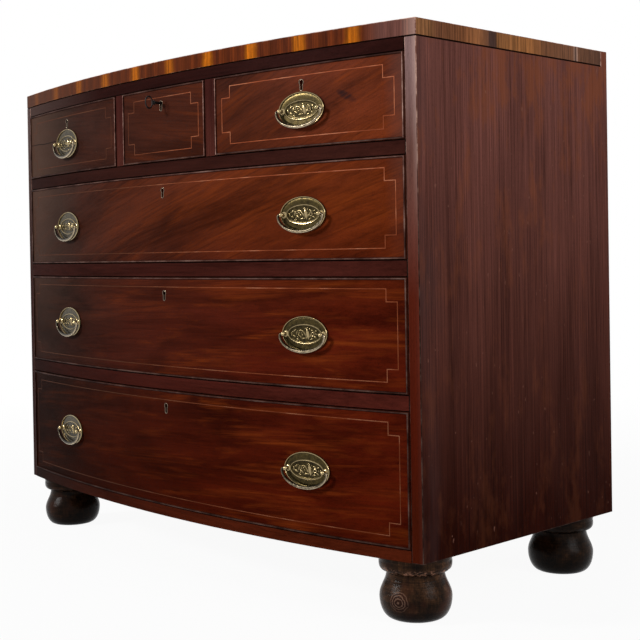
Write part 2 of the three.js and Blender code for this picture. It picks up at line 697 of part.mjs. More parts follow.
// Backplate with its posts, shanks and nuts, in its own frame: x along the face, -y outwards
function handlePlate() {
  const rim = PLATE_SECTION_SHARES.map(([across, relief]) => new THREE.Vector2(
    across * PLATE_HALF_WIDTH,
    -SEAM - relief * PLATE_RELIEF,
  ));
  const profile = [...rim, new THREE.Vector2(PLATE_HALF_WIDTH, -SEAM), new THREE.Vector2(0, -SEAM)];
  const dish = new THREE.LatheGeometry(profile, PLATE_SIDES);
  dish.scale(1, 1, PLATE_HALF_HEIGHT / PLATE_HALF_WIDTH);
  const nutSeat = FRONT_THICKNESS + SEAM + SEAM;
  const shankEnd = nutSeat + NUT_THICKNESS + SHANK_PAST_NUT;
  const parts = [toSolid(dish)];
  for (const x of [-POST_PLACE, POST_PLACE]) {
    const ball = new THREE.SphereGeometry(POST_BALL_RADIUS, POST_SIDES, POST_SIDES / 2);
    ball.translate(x, -POST_REACH, 0);
    const stem = new THREE.Vector3(x, (-POST_REACH - SEAM) / 2, 0);
    const shank = new THREE.Vector3(x, (shankEnd - POST_REACH) / 2, 0);
    const nut = new THREE.Vector3(x, nutSeat + NUT_THICKNESS / 2, 0);
    parts.push(toSolid(ball));
    parts.push(barAlongNormal(POST_RADIUS, POST_REACH - SEAM, POST_SIDES, 0, stem));
    parts.push(barAlongNormal(SHANK_RADIUS, shankEnd + POST_REACH, POST_SIDES, 0, shank));
    parts.push(barAlongNormal(NUT_RADIUS, NUT_THICKNESS, POST_SIDES, 0, nut));
  }
  const bores = [-POST_PLACE, POST_PLACE].map((x) => {
    const bore = new THREE.CylinderGeometry(
      BAIL_PIN_RADIUS + SEAM,
      BAIL_PIN_RADIUS + SEAM,
      2 * (POST_BALL_RADIUS + CUT),
      BAIL_SIDES,
    );
    bore.rotateZ(Math.PI / 2);
    bore.translate(x, -POST_REACH, 0);
    return toSolid(bore);
  });
  return toGeometry(without(joined(parts), bores));
}

// Bail: pins inside the balls of the posts, short bends, and a drooping half oval between them
function bail() {
  const points = [];
  const radii = [];
  const pinEnd = POST_PLACE - (BAIL_PIN_REACH - POST_BALL_RADIUS);
  const bend = BAIL_HALF_SPAN - BAIL_CORNER;
  const half = [[pinEnd, 0, BAIL_PIN_RADIUS]];
  for (let i = 0; i <= CORNER_STEPS; i++) {
    const turn = (Math.PI / 2) * (i / CORNER_STEPS);
    const radius = BAIL_PIN_RADIUS + (BAIL_WIRE_RADIUS - BAIL_PIN_RADIUS) * (i / CORNER_STEPS);
    half.push([bend + BAIL_CORNER * Math.sin(turn), -BAIL_CORNER * (1 - Math.cos(turn)), radius]);
  }
  const droop = BAIL_DROP - BAIL_CORNER;
  for (let i = 1; i < BAIL_STEPS / 2; i++) {
    const turn = (Math.PI * i) / BAIL_STEPS;
    const radius = BAIL_WIRE_RADIUS + (BAIL_MIDDLE_RADIUS - BAIL_WIRE_RADIUS) * Math.sin(turn) ** 2;
    half.push([BAIL_HALF_SPAN * Math.cos(turn), -BAIL_CORNER - droop * Math.sin(turn), radius]);
  }
  const mirrored = half.map(([x, z, radius]) => [-x, z, radius]).reverse();
  for (const [x, z, radius] of [...half, [0, -BAIL_DROP, BAIL_MIDDLE_RADIUS], ...mirrored]) {
    points.push(new THREE.Vector2(x, z));
    radii.push(radius);
  }
  return wire(points, radii, BAIL_SIDES);
}

function placeHandle(plateName, bailName, seat) {
  const group = new THREE.Group();
  group.position.copy(seat.point);
  group.rotation.z = seat.angle;
  chest.add(group);
  place(plateName, handlePlate(), 'brass', group);
  place(bailName, bail(), 'brass', group).position.y = -POST_REACH;
}

// The six drawers: three short ones over three long ones
const POST_INNER = PARTITION_PLACE - PARTITION_WIDTH / 2;
const POST_OUTER = PARTITION_PLACE + PARTITION_WIDTH / 2;
const SHORT_HANDLE_LEVEL = SHORT_BAY + SHORT_OPENING / 2 - SHORT_HANDLE_DROP;

drawer({
  name: 'short_left',
  x: [-INNER, -POST_OUTER],
  bay: [SHORT_BAY, TOP_RAIL],
  keyX: -HANDLE_PLACE,
  handles: [-HANDLE_PLACE],
  handleLevel: SHORT_HANDLE_LEVEL,
});
drawer({
  name: 'short_centre',
  x: [-POST_INNER, POST_INNER],
  bay: [SHORT_BAY, TOP_RAIL],
  keyX: 0,
  handles: [],
  handleLevel: SHORT_HANDLE_LEVEL,
  lock: true,
});
drawer({
  name: 'short_right',
  x: [POST_OUTER, INNER],
  bay: [SHORT_BAY, TOP_RAIL],
  keyX: HANDLE_PLACE,
  handles: [HANDLE_PLACE],
  handleLevel: SHORT_HANDLE_LEVEL,
});

for (const [name, bottom, opening, drop] of [
  ['long_upper', UPPER_BAY, UPPER_OPENING, UPPER_HANDLE_DROP],
  ['long_middle', MIDDLE_BAY, MIDDLE_OPENING, MIDDLE_HANDLE_DROP],
  ['long_lower', LOWER_BAY, LOWER_OPENING, LOWER_HANDLE_DROP],
]) {
  drawer({
    name,
    x: [-INNER, INNER],
    bay: [bottom, bottom + opening],
    keyX: 0,
    handles: [-HANDLE_PLACE, HANDLE_PLACE],
    handleLevel: bottom + opening / 2 - drop,
  });
}

// Lock case: a thin box let into the back of the centre drawer's front, open for key and bolt
function lockCase() {
  const z = [KEY_LEVEL - LOCK_BELOW_KEY, DRAWER_TOP_LEVEL];
  const outer = block(centred(0, LOCK_HALF_WIDTH), [LOCK_FRONT, LOCK_FRONT + LOCK_DEPTH], z);
  const hollow = block(centred(0, LOCK_HALF_WIDTH - LOCK_WALL), CAVITY, [z[0] + LOCK_WALL, z[1] - LOCK_WALL]);
  const mouth = block(
    centred(0, BOLT_HALF_WIDTH + SEAM),
    [BOLT[0] - SEAM, BOLT[1] + SEAM],
    [z[1] - LOCK_WALL - CUT, z[1] + CUT],
  );
  return without(outer, [hollow, mouth, keyholeCut(0, KEY_LEVEL, [LOCK_FRONT - CUT, CAVITY[0] + SEAM])]);
}

// Bolt: a plate that shoots up into the rail, with a talon in the path of the key's bit
function lockBolt() {
  const plate = block(
    centred(0, BOLT_HALF_WIDTH),
    BOLT,
    [KEY_LEVEL + BOLT_ABOVE_KEY, DRAWER_TOP_LEVEL],
  );
  const talon = block(
    [BOLT_TALON_NEAR, BOLT_TALON_FAR],
    [BIT[0], BOLT[1]],
    [KEY_LEVEL - BOLT_TALON_BELOW_KEY, KEY_LEVEL + BOLT_ABOVE_KEY + CUT],
  );
  return joined([plate, talon]);
}

// Key: shaft through the keyhole, bit inside the case, and an oval bow in an upright plane
function key() {
  const bowMiddle = FRONT_FACE - KEY_SHAFT_OUT - KEY_BOW_HALF_LENGTH;
  const shaft = [bowMiddle + KEY_BOW_HALF_LENGTH - KEY_BOW_WIRE, BIT[1]];
  const collar = [FRONT_FACE - KEY_SHAFT_OUT, FRONT_FACE - KEY_SHAFT_OUT + KEY_COLLAR_LENGTH];
  const bar = (radius, [near, far]) => barAlongNormal(
    radius,
    far - near,
    SHAFT_SIDES,
    0,
    new THREE.Vector3(0, (near + far) / 2, KEY_LEVEL),
  );
  const bit = block(centred(0, KEY_BIT_THICKNESS / 2), BIT, [KEY_LEVEL - KEY_BIT_REACH, KEY_LEVEL]);
  const ringRadius = KEY_BOW_HALF_HEIGHT - KEY_BOW_WIRE;
  const ring = new THREE.TorusGeometry(ringRadius, KEY_BOW_WIRE, KEY_BOW_SIDES, KEY_BOW_STEPS);
  ring.rotateY(Math.PI / 2);
  ring.scale(1, KEY_BOW_HALF_LENGTH / KEY_BOW_HALF_HEIGHT, 1);
  ring.translate(0, bowMiddle, KEY_LEVEL);
  return joined([bar(KEY_RADIUS, shaft), bar(KEY_COLLAR_RADIUS, collar), bit, toSolid(ring)]);
}

place('lock_case', toGeometry(lockCase()), 'brass');
place('lock_bolt', toGeometry(lockBolt()), 'iron');
place('key', toGeometry(key()), 'iron');

// The origin is under the middle of the whole object, from the back to the bow of the key
const FOREMOST = FRONT_FACE - KEY_SHAFT_OUT - 2 * KEY_BOW_HALF_LENGTH;
chest.position.y = -(SIDE_DEPTH + FOREMOST) / 2;

export default chest;
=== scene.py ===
import math

import bpy
from mathutils import Matrix, Vector, noise


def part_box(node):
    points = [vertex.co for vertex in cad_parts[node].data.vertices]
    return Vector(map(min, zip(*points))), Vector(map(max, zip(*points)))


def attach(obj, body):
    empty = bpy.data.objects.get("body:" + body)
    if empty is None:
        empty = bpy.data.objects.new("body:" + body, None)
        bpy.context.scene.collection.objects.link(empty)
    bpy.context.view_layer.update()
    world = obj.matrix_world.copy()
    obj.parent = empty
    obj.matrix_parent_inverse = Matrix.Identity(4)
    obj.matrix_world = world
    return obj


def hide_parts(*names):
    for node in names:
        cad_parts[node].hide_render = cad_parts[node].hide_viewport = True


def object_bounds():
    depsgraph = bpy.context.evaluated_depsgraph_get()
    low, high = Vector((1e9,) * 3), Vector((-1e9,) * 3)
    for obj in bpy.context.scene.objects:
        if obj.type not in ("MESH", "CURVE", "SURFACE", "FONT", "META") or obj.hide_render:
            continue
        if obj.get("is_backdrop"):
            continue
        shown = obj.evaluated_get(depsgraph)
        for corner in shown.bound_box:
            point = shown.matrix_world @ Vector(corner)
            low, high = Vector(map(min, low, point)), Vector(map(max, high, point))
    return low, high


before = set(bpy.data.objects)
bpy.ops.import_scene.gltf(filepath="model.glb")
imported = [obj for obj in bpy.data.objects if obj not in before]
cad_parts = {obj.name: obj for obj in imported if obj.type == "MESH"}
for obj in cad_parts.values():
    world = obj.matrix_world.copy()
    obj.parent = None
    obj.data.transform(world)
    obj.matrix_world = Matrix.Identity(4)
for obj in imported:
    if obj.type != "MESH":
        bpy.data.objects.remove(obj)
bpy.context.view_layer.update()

# The view, the floor and the light.
# The eye stands a little over half the chest's height, off its right front corner. The floor is
# pale and keeps a soft shadow, and large soft lamps stand at the front left and at the right.
EYE = Vector((1.6941, -1.4958, 0.5453))
VIEW_AZIMUTH = 46.392
VIEW_ELEVATION = 0.641
VIEW_ROLL = -0.912
LENS = 67.89
LENS_SHIFT = -0.081
FLOOR_SIZE = 30
FLOOR_GREY = 0.74
FLOOR_SHINE_NEAR = 0.94
FLOOR_NEAR = 0.8
FLOOR_FAR = 2.6
ROOM_LIGHT = 0.24


def add_node(source, kind, settings=None, **sockets):
    # The source is a node tree, or any socket in it.
    tree = source.id_data
    made = tree.nodes.new("ShaderNode" + kind)
    for name, value in (settings or {}).items():
        setattr(made, name, value)
    for name, value in sockets.items():
        socket = made.inputs[int(name[1:])] if name[1:].isdigit() else made.inputs[name.replace("_", " ")]
        if isinstance(value, bpy.types.NodeSocket):
            tree.links.new(value, socket)
        else:
            socket.default_value = value
    return made


def first_socket(values):
    return next(value for value in values if isinstance(value, bpy.types.NodeSocket))


def calc(operation, *values):
    sockets = {f"i{i}": value for i, value in enumerate(values)}
    return add_node(first_socket(values), "Math", {"operation": operation}, **sockets).outputs[0]


def times(first, second):
    return calc("MULTIPLY", first, second)


def spread(value, low, high, start=0.0, end=1.0):
    sockets = {"i1": low, "i2": high, "i3": start, "i4": end}
    return add_node(value, "MapRange", {"clamp": True}, i0=value, **sockets).outputs[0]


def new_paint(name):
    paint = bpy.data.materials.new(name)
    paint.use_nodes = True
    paint.node_tree.nodes.clear()
    return paint, add_node(paint.node_tree, "TexCoord").outputs["Object"]


def seen_direct(source):
    path = add_node(source, "LightPath").outputs
    seen = calc("MAXIMUM", path["Is Camera Ray"], path["Is Glossy Ray"])
    return calc("MAXIMUM", seen, path["Is Transmission Ray"])


def make_view():
    azimuth = math.radians(VIEW_AZIMUTH)
    elevation = math.radians(VIEW_ELEVATION)
    back = Vector((
        math.sin(azimuth) * math.cos(elevation),
        -math.cos(azimuth) * math.cos(elevation),
        math.sin(elevation),
    ))
    turn = (-back).to_track_quat("-Z", "Y").to_matrix().to_4x4()
    bpy.ops.object.camera_add()
    camera = bpy.context.object
    camera.matrix_world = Matrix.Translation(EYE) @ turn @ Matrix.Rotation(math.radians(VIEW_ROLL), 4, "Z")
    camera.data.lens = LENS
    camera.data.shift_y = LENS_SHIFT
    bpy.context.scene.camera = camera


def make_floor():
    bpy.ops.mesh.primitive_plane_add(size=FLOOR_SIZE, location=(0, 0, 0))
    floor = bpy.context.object
    floor.name = "floor"
    paint, place = new_paint("pale_floor")
    matt = add_node(place, "BsdfDiffuse", Color=(FLOOR_GREY, FLOOR_GREY, FLOOR_GREY, 1))
    white = add_node(place, "Emission", Color=(1, 1, 1, 1), Strength=1)
    away = add_node(place, "VectorMath", {"operation": "LENGTH"}, i0=place).outputs["Value"]
    fade = spread(away, FLOOR_NEAR, FLOOR_FAR, FLOOR_SHINE_NEAR, 1.0)
    share = times(seen_direct(place), fade)
    mixed = add_node(place, "MixShader", i0=share, i1=matt.outputs[0], i2=white.outputs[0])
    add_node(place, "OutputMaterial", Surface=mixed.outputs[0])
    floor.data.materials.append(paint)
    floor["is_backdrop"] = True


def make_room():
    room = bpy.data.worlds.new("studio")
    room.use_nodes = True
    tree = room.node_tree
    tree.nodes.clear()
    strength = calc("MULTIPLY_ADD", seen_direct(tree), 1 - ROOM_LIGHT, ROOM_LIGHT)
    light = add_node(tree, "Background", Color=(1, 1, 1, 1), Strength=strength)
    add_node(tree, "OutputWorld", Surface=light.outputs[0])
    bpy.context.scene.world = room


def hang_lamp(name, place, target, size, power):
    bpy.ops.object.light_add(type="AREA", location=place)
    lamp = bpy.context.object
    lamp.name = name
    lamp.data.shape = "RECTANGLE"
    lamp.data.size = size[0]
    lamp.data.size_y = size[1]
    lamp.data.energy = power
    lamp.rotation_euler = (Vector(target) - Vector(place)).to_track_quat("-Z", "Y").to_euler()


bpy.ops.object.select_all(action="DESELECT")
make_view()
make_floor()
make_room()
hang_lamp("key_lamp", (-2.0, -3.4, 2.2), (0, 0, 0.5), (0.7, 0.7), 145)
hang_lamp("side_lamp", (3.6, 0.2, 2.0), (0.5, 0, 0.5), (1.8, 1.4), 60)
bpy.context.scene.view_settings.view_transform = "Standard"


# The carcase sides.
# Two solid mahogany boards with upright grain, housed for the rails and rebated for the back. The
# polish has dulled and the outer corners are worn pale. The boards are painted darker towards the
# foot and lighter towards the top, as painted shade and light.
ARRIS = 0.0011
ARRIS_STEPS = 2
MERGE_DISTANCE = 0.000001
GRAIN_DARK = (0.3, 0.27, 0.26)
GRAIN_MIDDLE = (0.54, 0.52, 0.51)
GRAIN_BRIGHT = (0.9, 0.88, 0.86)
GRAIN_LIFT = 1.85
SIDE_SHADED_LOW = (0.0165, 0.0025, 0.001)
SIDE_MIDDLE = (0.068, 0.023, 0.017)
SIDE_LIT_HIGH = (0.12, 0.045, 0.036)
STILE_TONES = [
    (0.14, (0.05, 0.007, 0.0022)), (0.26, (0.055, 0.0062, 0.002)), (0.48, (0.074, 0.0115, 0.0052)),
    (0.7, (0.115, 0.052, 0.042)), (0.82, (0.21, 0.13, 0.125)),
]
STILE_PALE = (0.46, 0.3, 0.26)
FRONT_WEAR = (0.06, 0.02)
SUN_FADE = (0.08, 0.16)
CORNER_WEAR = (0.008, 0.001)
GRIME_AND_GAP_SHADE = (0.004, 0.0022, 0.0018)
WORN_DARK = (0.16, 0.07, 0.05)
WORN_PALE = (0.46, 0.28, 0.22)


def corners(box):
    return [Vector(corner) for corner in box]


top_low, top_high = corners(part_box("top_board"))
side_low, side_high = corners(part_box("carcase_side_right"))


def minus(first, second):
    return calc("SUBTRACT", first, second)


def axes(place):
    return add_node(place, "SeparateXYZ", Vector=place).outputs


def colour_of(value, stops):
    made = add_node(value, "ValToRGB", Fac=value)
    band = made.color_ramp
    for place, _ in stops[1:-1]:
        band.elements.new(place)
    band.elements[0].position = stops[0][0]
    band.elements[len(stops) - 1].position = stops[-1][0]
    for element, (place, colour) in zip(band.elements, stops):
        element.color = (*colour, 1)
    return made.outputs[0]


def blend(share, first, second, way="MIX"):
    source = first_socket((share, first, second))
    first, second = ((*colour, 1) if isinstance(colour, tuple) else colour for colour in (first, second))
    settings = {"data_type": "RGBA", "blend_type": way}
    return add_node(source, "Mix", settings, i0=share, i6=first, i7=second).outputs[2]


def tinted(colour, tint):
    return blend(1.0, colour, tint, "MULTIPLY")


def shaded(colour, share):
    grey = add_node(first_socket((share, colour)), "CombineColor", i0=share, i1=share, i2=share)
    return tinted(colour, grey.outputs[0])


def scaled(colour, share):
    return tuple(share * part for part in colour)


def grain_tone(value, tones):
    return colour_of(value, [(level, scaled(tone, GRAIN_LIFT)) for level, tone in tones])


def cloud(place, size, detail=2.0, tilt=(0, 0, 0), shift=(0, 0, 0), wander=0.0, rough=0.5):
    spot = add_node(place, "Mapping", {"vector_type": "TEXTURE"},
                    Vector=place, Location=shift, Rotation=tilt, Scale=size).outputs[0]
    return add_node(place, "TexNoise", Vector=spot, Scale=1, Detail=detail, Roughness=rough,
                    Distortion=wander).outputs[0]


def finish_paint(colour, roughness, gloss, height, depth, metal=0.0):
    bump = add_node(colour, "Bump", Strength=1, Distance=depth, Height=height)
    skin = add_node(colour, "BsdfPrincipled", Base_Color=colour, Roughness=roughness, Metallic=metal,
                    Specular_IOR_Level=gloss, Normal=bump.outputs[0])
    add_node(colour, "OutputMaterial", Surface=skin.outputs[0])


def along(grain, length, width):
    return tuple(length if axis == grain else width for axis in "XYZ")


def wood(name, grain, shades, tilt=0.0, shift=0.0, streak=0.0055, gloss=0.015, roughness=0.33,
         extra=None, streaks=0.4):
    paint, place = new_paint(name)
    turn = (0, tilt, 0)
    start = (shift, shift * 0.7, shift * 1.3)
    broad = cloud(place, along(grain, 0.42, 0.055), 2, turn, start, 0.5)
    lines = cloud(place, along(grain, 0.3, streak), 4, turn, start, 0.35, 0.62)
    fine = cloud(place, along(grain, 0.05, 0.0011), 2, turn, start)
    pores = cloud(place, along(grain, 0.007, 0.00045), 1, turn, start)
    mixed = calc("MULTIPLY_ADD", broad, 0.85 - streaks, times(lines, streaks))
    mixed = calc("MULTIPLY_ADD", fine, 0.15, mixed)
    colour = colour_of(mixed, shades)
    holes = spread(pores, 0.6, 0.72)
    colour = blend(times(holes, 0.45), colour, (0.01, 0.003, 0.002))
    if extra:
        colour = extra(place, colour)
    shine = spread(mixed, 0.35, 0.65, roughness + 0.06, roughness - 0.05)
    height = calc("MULTIPLY_ADD", holes, -0.6, fine)
    finish_paint(colour, shine, gloss, height, 0.00012)
    return paint


def wood_shades(dark, middle, bright):
    between = tuple((first + second) / 2 for first, second in zip(middle, bright))
    return [(0.36, dark), (0.47, middle), (0.57, between), (0.67, bright)]


def side_shade_and_wear(place, colour):
    _, y, z = axes(place)
    patch = cloud(place, (0.05, 0.05, 0.22), 3, shift=(3, 1, 2))
    # The side is painted darker towards the bottom and lighter towards the top: painted shade and light
    # falling off down the board.
    level = calc("MULTIPLY_ADD", patch, 0.16, minus(z, 0.08))
    colour = tinted(colour, grain_tone(level, [(0.12, SIDE_SHADED_LOW), (0.46, SIDE_MIDDLE), (0.82, SIDE_LIT_HIGH)]))
    depth = minus(y, side_low.y)
    front = times(spread(depth, *FRONT_WEAR), spread(patch, 0.4, 0.6, 0.05, 0.5))
    colour = blend(front, colour, (0.042, 0.024, 0.024))
    bare = cloud(place, (0.045, 0.045, 0.13), 4, shift=(2, 8, 6), rough=0.7)
    sunny = times(spread(z, 0.66, 0.82, 0, 0.09), spread(depth, *SUN_FADE))
    bare = times(spread(calc("ADD", bare, sunny), 0.53, 0.66, 0, 0.6), spread(z, 0.45, 0.8, 0.25, 1))
    colour = blend(bare, colour, (0.19, 0.054, 0.022))
    bruise = cloud(place, (0.006, 0.006, 0.014), 2, shift=(7, 5, 1))
    return blend(spread(bruise, 0.72, 0.78, 0, 0.6), colour, (0.2, 0.085, 0.06))


def worn_paint(name, grain):
    paint, place = new_paint(name)
    patch = cloud(place, along(grain, 0.03, 0.012), 4, rough=0.7)
    z = axes(place)[2]
    colour = colour_of(patch, [(0.34, SIDE_MIDDLE), (0.48, WORN_DARK), (0.62, WORN_PALE)])
    # The worn edges are painted darker towards the bottom and lighter at the top, the same painted shade
    # and light as on the side.
    colour = shaded(colour, spread(z, 0.54, 0.86, 0.16, 1.45))
    finish_paint(colour, 0.45, 0.02, patch, 0.0003)
    return paint


def stile_tone(place, colour):
    x, _, z = axes(place)
    # The stile is painted darker towards the bottom and lighter towards the top: painted shade and light.
    colour = tinted(colour, grain_tone(z, STILE_TONES))
    corner = spread(minus(side_high.x, calc("ABSOLUTE", x)), *CORNER_WEAR)
    worn = times(corner, spread(z, 0.58, 0.84, 0.02, 0.8))
    colour = blend(worn, colour, STILE_PALE)
    # Darker on the left stile, a painted shade.
    return shaded(colour, spread(x, 0, -0.4, 1.0, 0.24))


grain_shades = wood_shades(GRAIN_DARK, GRAIN_MIDDLE, GRAIN_BRIGHT)
side_shades = wood_shades((0.23, 0.2, 0.19), (0.53, 0.51, 0.5), (1.08, 1.03, 1.0))
side_paint = wood("mahogany_side", "Z", side_shades, streak=0.0019, gloss=0.006, extra=side_shade_and_wear,
                  streaks=0.6)
stile_paint = wood("mahogany_stile", "Z", grain_shades, shift=6, streak=0.003, gloss=0.006,
                   extra=stile_tone, streaks=0.3)
worn_upright = worn_paint("worn_upright", "Z")
# A near-black paint flecked with dust, used as a painted shadow in the seams and gaps between parts.
grime_and_gap_shade_paint, place = new_paint("grime_and_gap_shade")
dust = cloud(place, (0.02, 0.02, 0.004), 3)
finish_paint(colour_of(dust, [(0.4, GRIME_AND_GAP_SHADE), (0.7, scaled(GRIME_AND_GAP_SHADE, 3))]), 0.8, 0.0, dust, 0.0001)


def pick(*pieces):
    bpy.ops.object.select_all(action="DESELECT")
    for piece in pieces:
        piece.select_set(True)
    bpy.context.view_layer.objects.active = pieces[0]


def new_piece(name, data):
    piece = bpy.data.objects.new(name, data)
    bpy.context.collection.objects.link(piece)
    return piece


def merged_copy(node, name):
    piece = new_piece(name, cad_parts[node].data.copy())
    piece.data.materials.clear()
    pick(piece)
    bpy.ops.object.mode_set(mode="EDIT")
    bpy.ops.mesh.select_all(action="SELECT")
    bpy.ops.mesh.remove_doubles(threshold=MERGE_DISTANCE)
    bpy.ops.mesh.dissolve_limited(angle_limit=math.radians(0.5))
    bpy.ops.object.mode_set(mode="OBJECT")
    return piece


def smooth(angle):
    bpy.ops.object.shade_smooth_by_angle(angle=math.radians(angle))


def ease_edges(piece, width, worn_slot):
    rounding = piece.modifiers.new("eased", "BEVEL")
    rounding.width = width
    rounding.segments = ARRIS_STEPS
    rounding.limit_method = "ANGLE"
    rounding.angle_limit = math.radians(30)
    rounding.material = worn_slot
    bpy.ops.object.modifier_apply(modifier="eased")
    smooth(20)


def dress_copy(node, name, body, paints, width, front=0, ends=0):
    piece = merged_copy(node, name)
    for paint in paints:
        piece.data.materials.append(paint)
    for face in piece.data.polygons:
        if face.normal.y < -0.5:
            face.material_index = front
        elif abs(face.normal.x) > 0.9:
            face.material_index = ends
    ease_edges(piece, width, len(paints) - 1)
    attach(piece, body)
    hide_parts(node)
    return piece


# Paints the faces along a seam with the near-black paint, a painted shadow in the joint.
def darken_seam(piece, level, reach):
    piece.data.materials.append(grime_and_gap_shade_paint)
    for face in piece.data.polygons:
        if abs(face.center.z - level) < reach and abs(face.normal.z) < 0.98:
            face.material_index = len(piece.data.materials) - 1


for hand in ("left", "right"):
    board = dress_copy(f"carcase_side_{hand}", f"side_board_{hand}", "carcase",
                       [side_paint, stile_paint, worn_upright], ARRIS, front=1)
    darken_seam(board, top_low.z, ARRIS * 1.3)


# The top board.
# A mahogany board whose bowed front edge is faced with crossbanded leaves of one veneer, so that
# the same gold stripe comes back along it, and whose side edges are faced with paler leaves. On
# top a crossbanded border is set off by a thin line of boxwood.
LEAF = 0.1018
LEAF_START = 0.089
BORDER = 0.038
BORDER_LINE = 0.0022
BORDER_SOFT = 0.0001
GOLD = (0.52, 0.135, 0.005)
BAND_BROWN = (0.138, 0.026, 0.005)
BAND_DARK = (0.078, 0.015, 0.004)
EDGE_CHIP = 0.0016
BOXWOOD = (0.55, 0.27, 0.11)


def lower_chips(place, colour):
    x, _, z = axes(place)
    chips = cloud(place, (0.012, 0.012, 0.004), 3, shift=(1, 4, 2))
    near = times(spread(z, top_low.z + EDGE_CHIP, top_low.z + EDGE_CHIP / 2), spread(x, 0.3, 0.2))
    share = times(near, spread(chips, 0.52, 0.64))
    return blend(share, colour, (0.46, 0.27, 0.17))


def front_band_paint():
    paint, place = new_paint("crossband_front")
    x = axes(place)[0]
    sway = cloud(place, (0.018, 0.018, 0.03), 4, rough=0.65)
    wide = cloud(place, (0.16, 0.16, 0.16), 1, shift=(2, 0, 0))
    lines = cloud(place, (0.0012, 0.0012, 0.09), 3, rough=0.65)
    moved = calc("MULTIPLY_ADD", sway, 0.014, calc("MULTIPLY_ADD", lines, 0.008, x))
    spot = calc("FRACT", calc("DIVIDE", minus(moved, LEAF_START), LEAF))
    leaf = colour_of(spot, [
        (0.0, BAND_DARK), (0.1, BAND_BROWN), (0.2, BAND_DARK), (0.32, BAND_BROWN),
        (0.38, scaled(GOLD, 0.5)), (0.43, GOLD), (0.47, scaled(GOLD, 0.7)), (0.51, GOLD),
        (0.58, scaled(GOLD, 0.5)), (0.64, BAND_BROWN), (0.7, BAND_DARK), (0.8, BAND_BROWN),
        (0.9, scaled(BAND_BROWN, 0.6)), (1.0, BAND_DARK),
    ])
    colour = shaded(leaf, spread(lines, 0.32, 0.68, 0.5, 1.45))
    # The band is painted darker towards the left end, a painted shade.
    colour = blend(spread(x, 0.2, -0.5, 0.0, 0.9), colour, (0.062, 0.026, 0.016))
    colour = blend(spread(wide, 0.55, 0.75, 0, 0.4), colour, (0.1, 0.025, 0.01))
    end = shaded((0.15, 0.062, 0.05), spread(lines, 0.32, 0.68, 0.6, 1.4))
    colour = blend(spread(x, 0.45, 0.482, 0.0, 0.85), colour, end)
    colour = blend(spread(x, 0.515, 0.539, 0.0, 0.6), colour, STILE_PALE)
    colour = lower_chips(place, colour)
    finish_paint(colour, 0.3, 0.006, lines, 0.00012)
    return paint


def side_band_paint():
    paint, place = new_paint("crossband_side")
    depth = minus(axes(place)[1], side_low.y)
    leaves = colour_of(calc("DIVIDE", depth, side_high.y - side_low.y), [
        (0.0, (0.21, 0.09, 0.036)), (0.07, (0.21, 0.09, 0.036)), (0.1, (0.13, 0.05, 0.024)),
        (0.22, (0.15, 0.055, 0.022)), (0.29, (0.26, 0.1, 0.038)), (0.345, (0.13, 0.055, 0.03)),
        (0.352, (0.07, 0.036, 0.028)), (0.382, (0.05, 0.024, 0.018)), (0.39, (0.19, 0.078, 0.028)),
        (0.56, (0.27, 0.105, 0.034)), (0.64, (0.14, 0.056, 0.026)), (0.8, (0.14, 0.06, 0.032)),
        (0.806, (0.32, 0.19, 0.14)), (0.812, (0.04, 0.016, 0.012)), (0.822, (0.32, 0.19, 0.14)),
        (0.828, (0.13, 0.056, 0.03)), (1.0, (0.085, 0.038, 0.024)),
    ])
    lines = cloud(place, (0.0022, 0.0022, 0.08), 4, rough=0.7)
    colour = shaded(leaves, spread(lines, 0.3, 0.7, 0.35, 1.75))
    finish_paint(colour, 0.36, 0.02, lines, 0.0002)
    return paint


def top_border(place, colour):
    x, y, _ = axes(place)
    across = minus(top_high.x, calc("ABSOLUTE", x))
    squares = calc("ADD", calc("POWER", x, 2), calc("POWER", minus(y, BOW_AXIS), 2))
    behind = minus(BOW_RADIUS, calc("SQRT", squares))
    near = calc("MINIMUM", across, behind)
    border = spread(near, BORDER + BORDER_SOFT, BORDER - BORDER_SOFT)
    line = times(spread(near, BORDER + BORDER_LINE + BORDER_SOFT, BORDER + BORDER_LINE),
                 spread(near, BORDER, BORDER + BORDER_SOFT))
    front = calc("LESS_THAN", behind, across)
    by_x = cloud(place, (0.0016, 0.05, 0.05), 3)
    by_y = cloud(place, (0.05, 0.0016, 0.05), 3)
    cross = calc("MULTIPLY_ADD", by_x, front, times(by_y, minus(1, front)))
    band = colour_of(cross, [(0.34, BAND_DARK), (0.5, BAND_BROWN), (0.66, (0.3, 0.085, 0.018))])
    colour = blend(border, colour, band)
    return blend(line, colour, BOXWOOD)


BOW_RISE = 0.054
BOW_RADIUS = (top_high.x ** 2 + BOW_RISE ** 2) / (2 * BOW_RISE)
BOW_AXIS = top_low.y + BOW_RADIUS

top_shades = wood_shades((0.05, 0.01, 0.004), (0.11, 0.026, 0.009), (0.24, 0.07, 0.018))
top_paint = wood("mahogany_top", "X", top_shades, shift=4, extra=top_border)
worn_top = worn_paint("worn_top", "X")
board = dress_copy("top_board", "top_board_veneered", "carcase",
                   [top_paint, front_band_paint(), side_band_paint(), worn_top], ARRIS, front=1, ends=2)
darken_seam(board, top_low.z, ARRIS)


# The rails and the partition posts.
# Mahogany strips with level grain between the drawers, tongued into the sides, and two short
# upright posts between the small drawers. Their front edges follow the bow.
RAIL_TONES = [
    (0.12, (0.066, 0.0108, 0.0036)), (0.33, (0.056, 0.0105, 0.007)), (0.5, (0.046, 0.0098, 0.0068)),
    (0.66, (0.038, 0.0105, 0.0074)), (0.82, (0.021, 0.005, 0.004)),
]
POST_LIFT = 2.4
RAIL_ARRIS = 0.0007


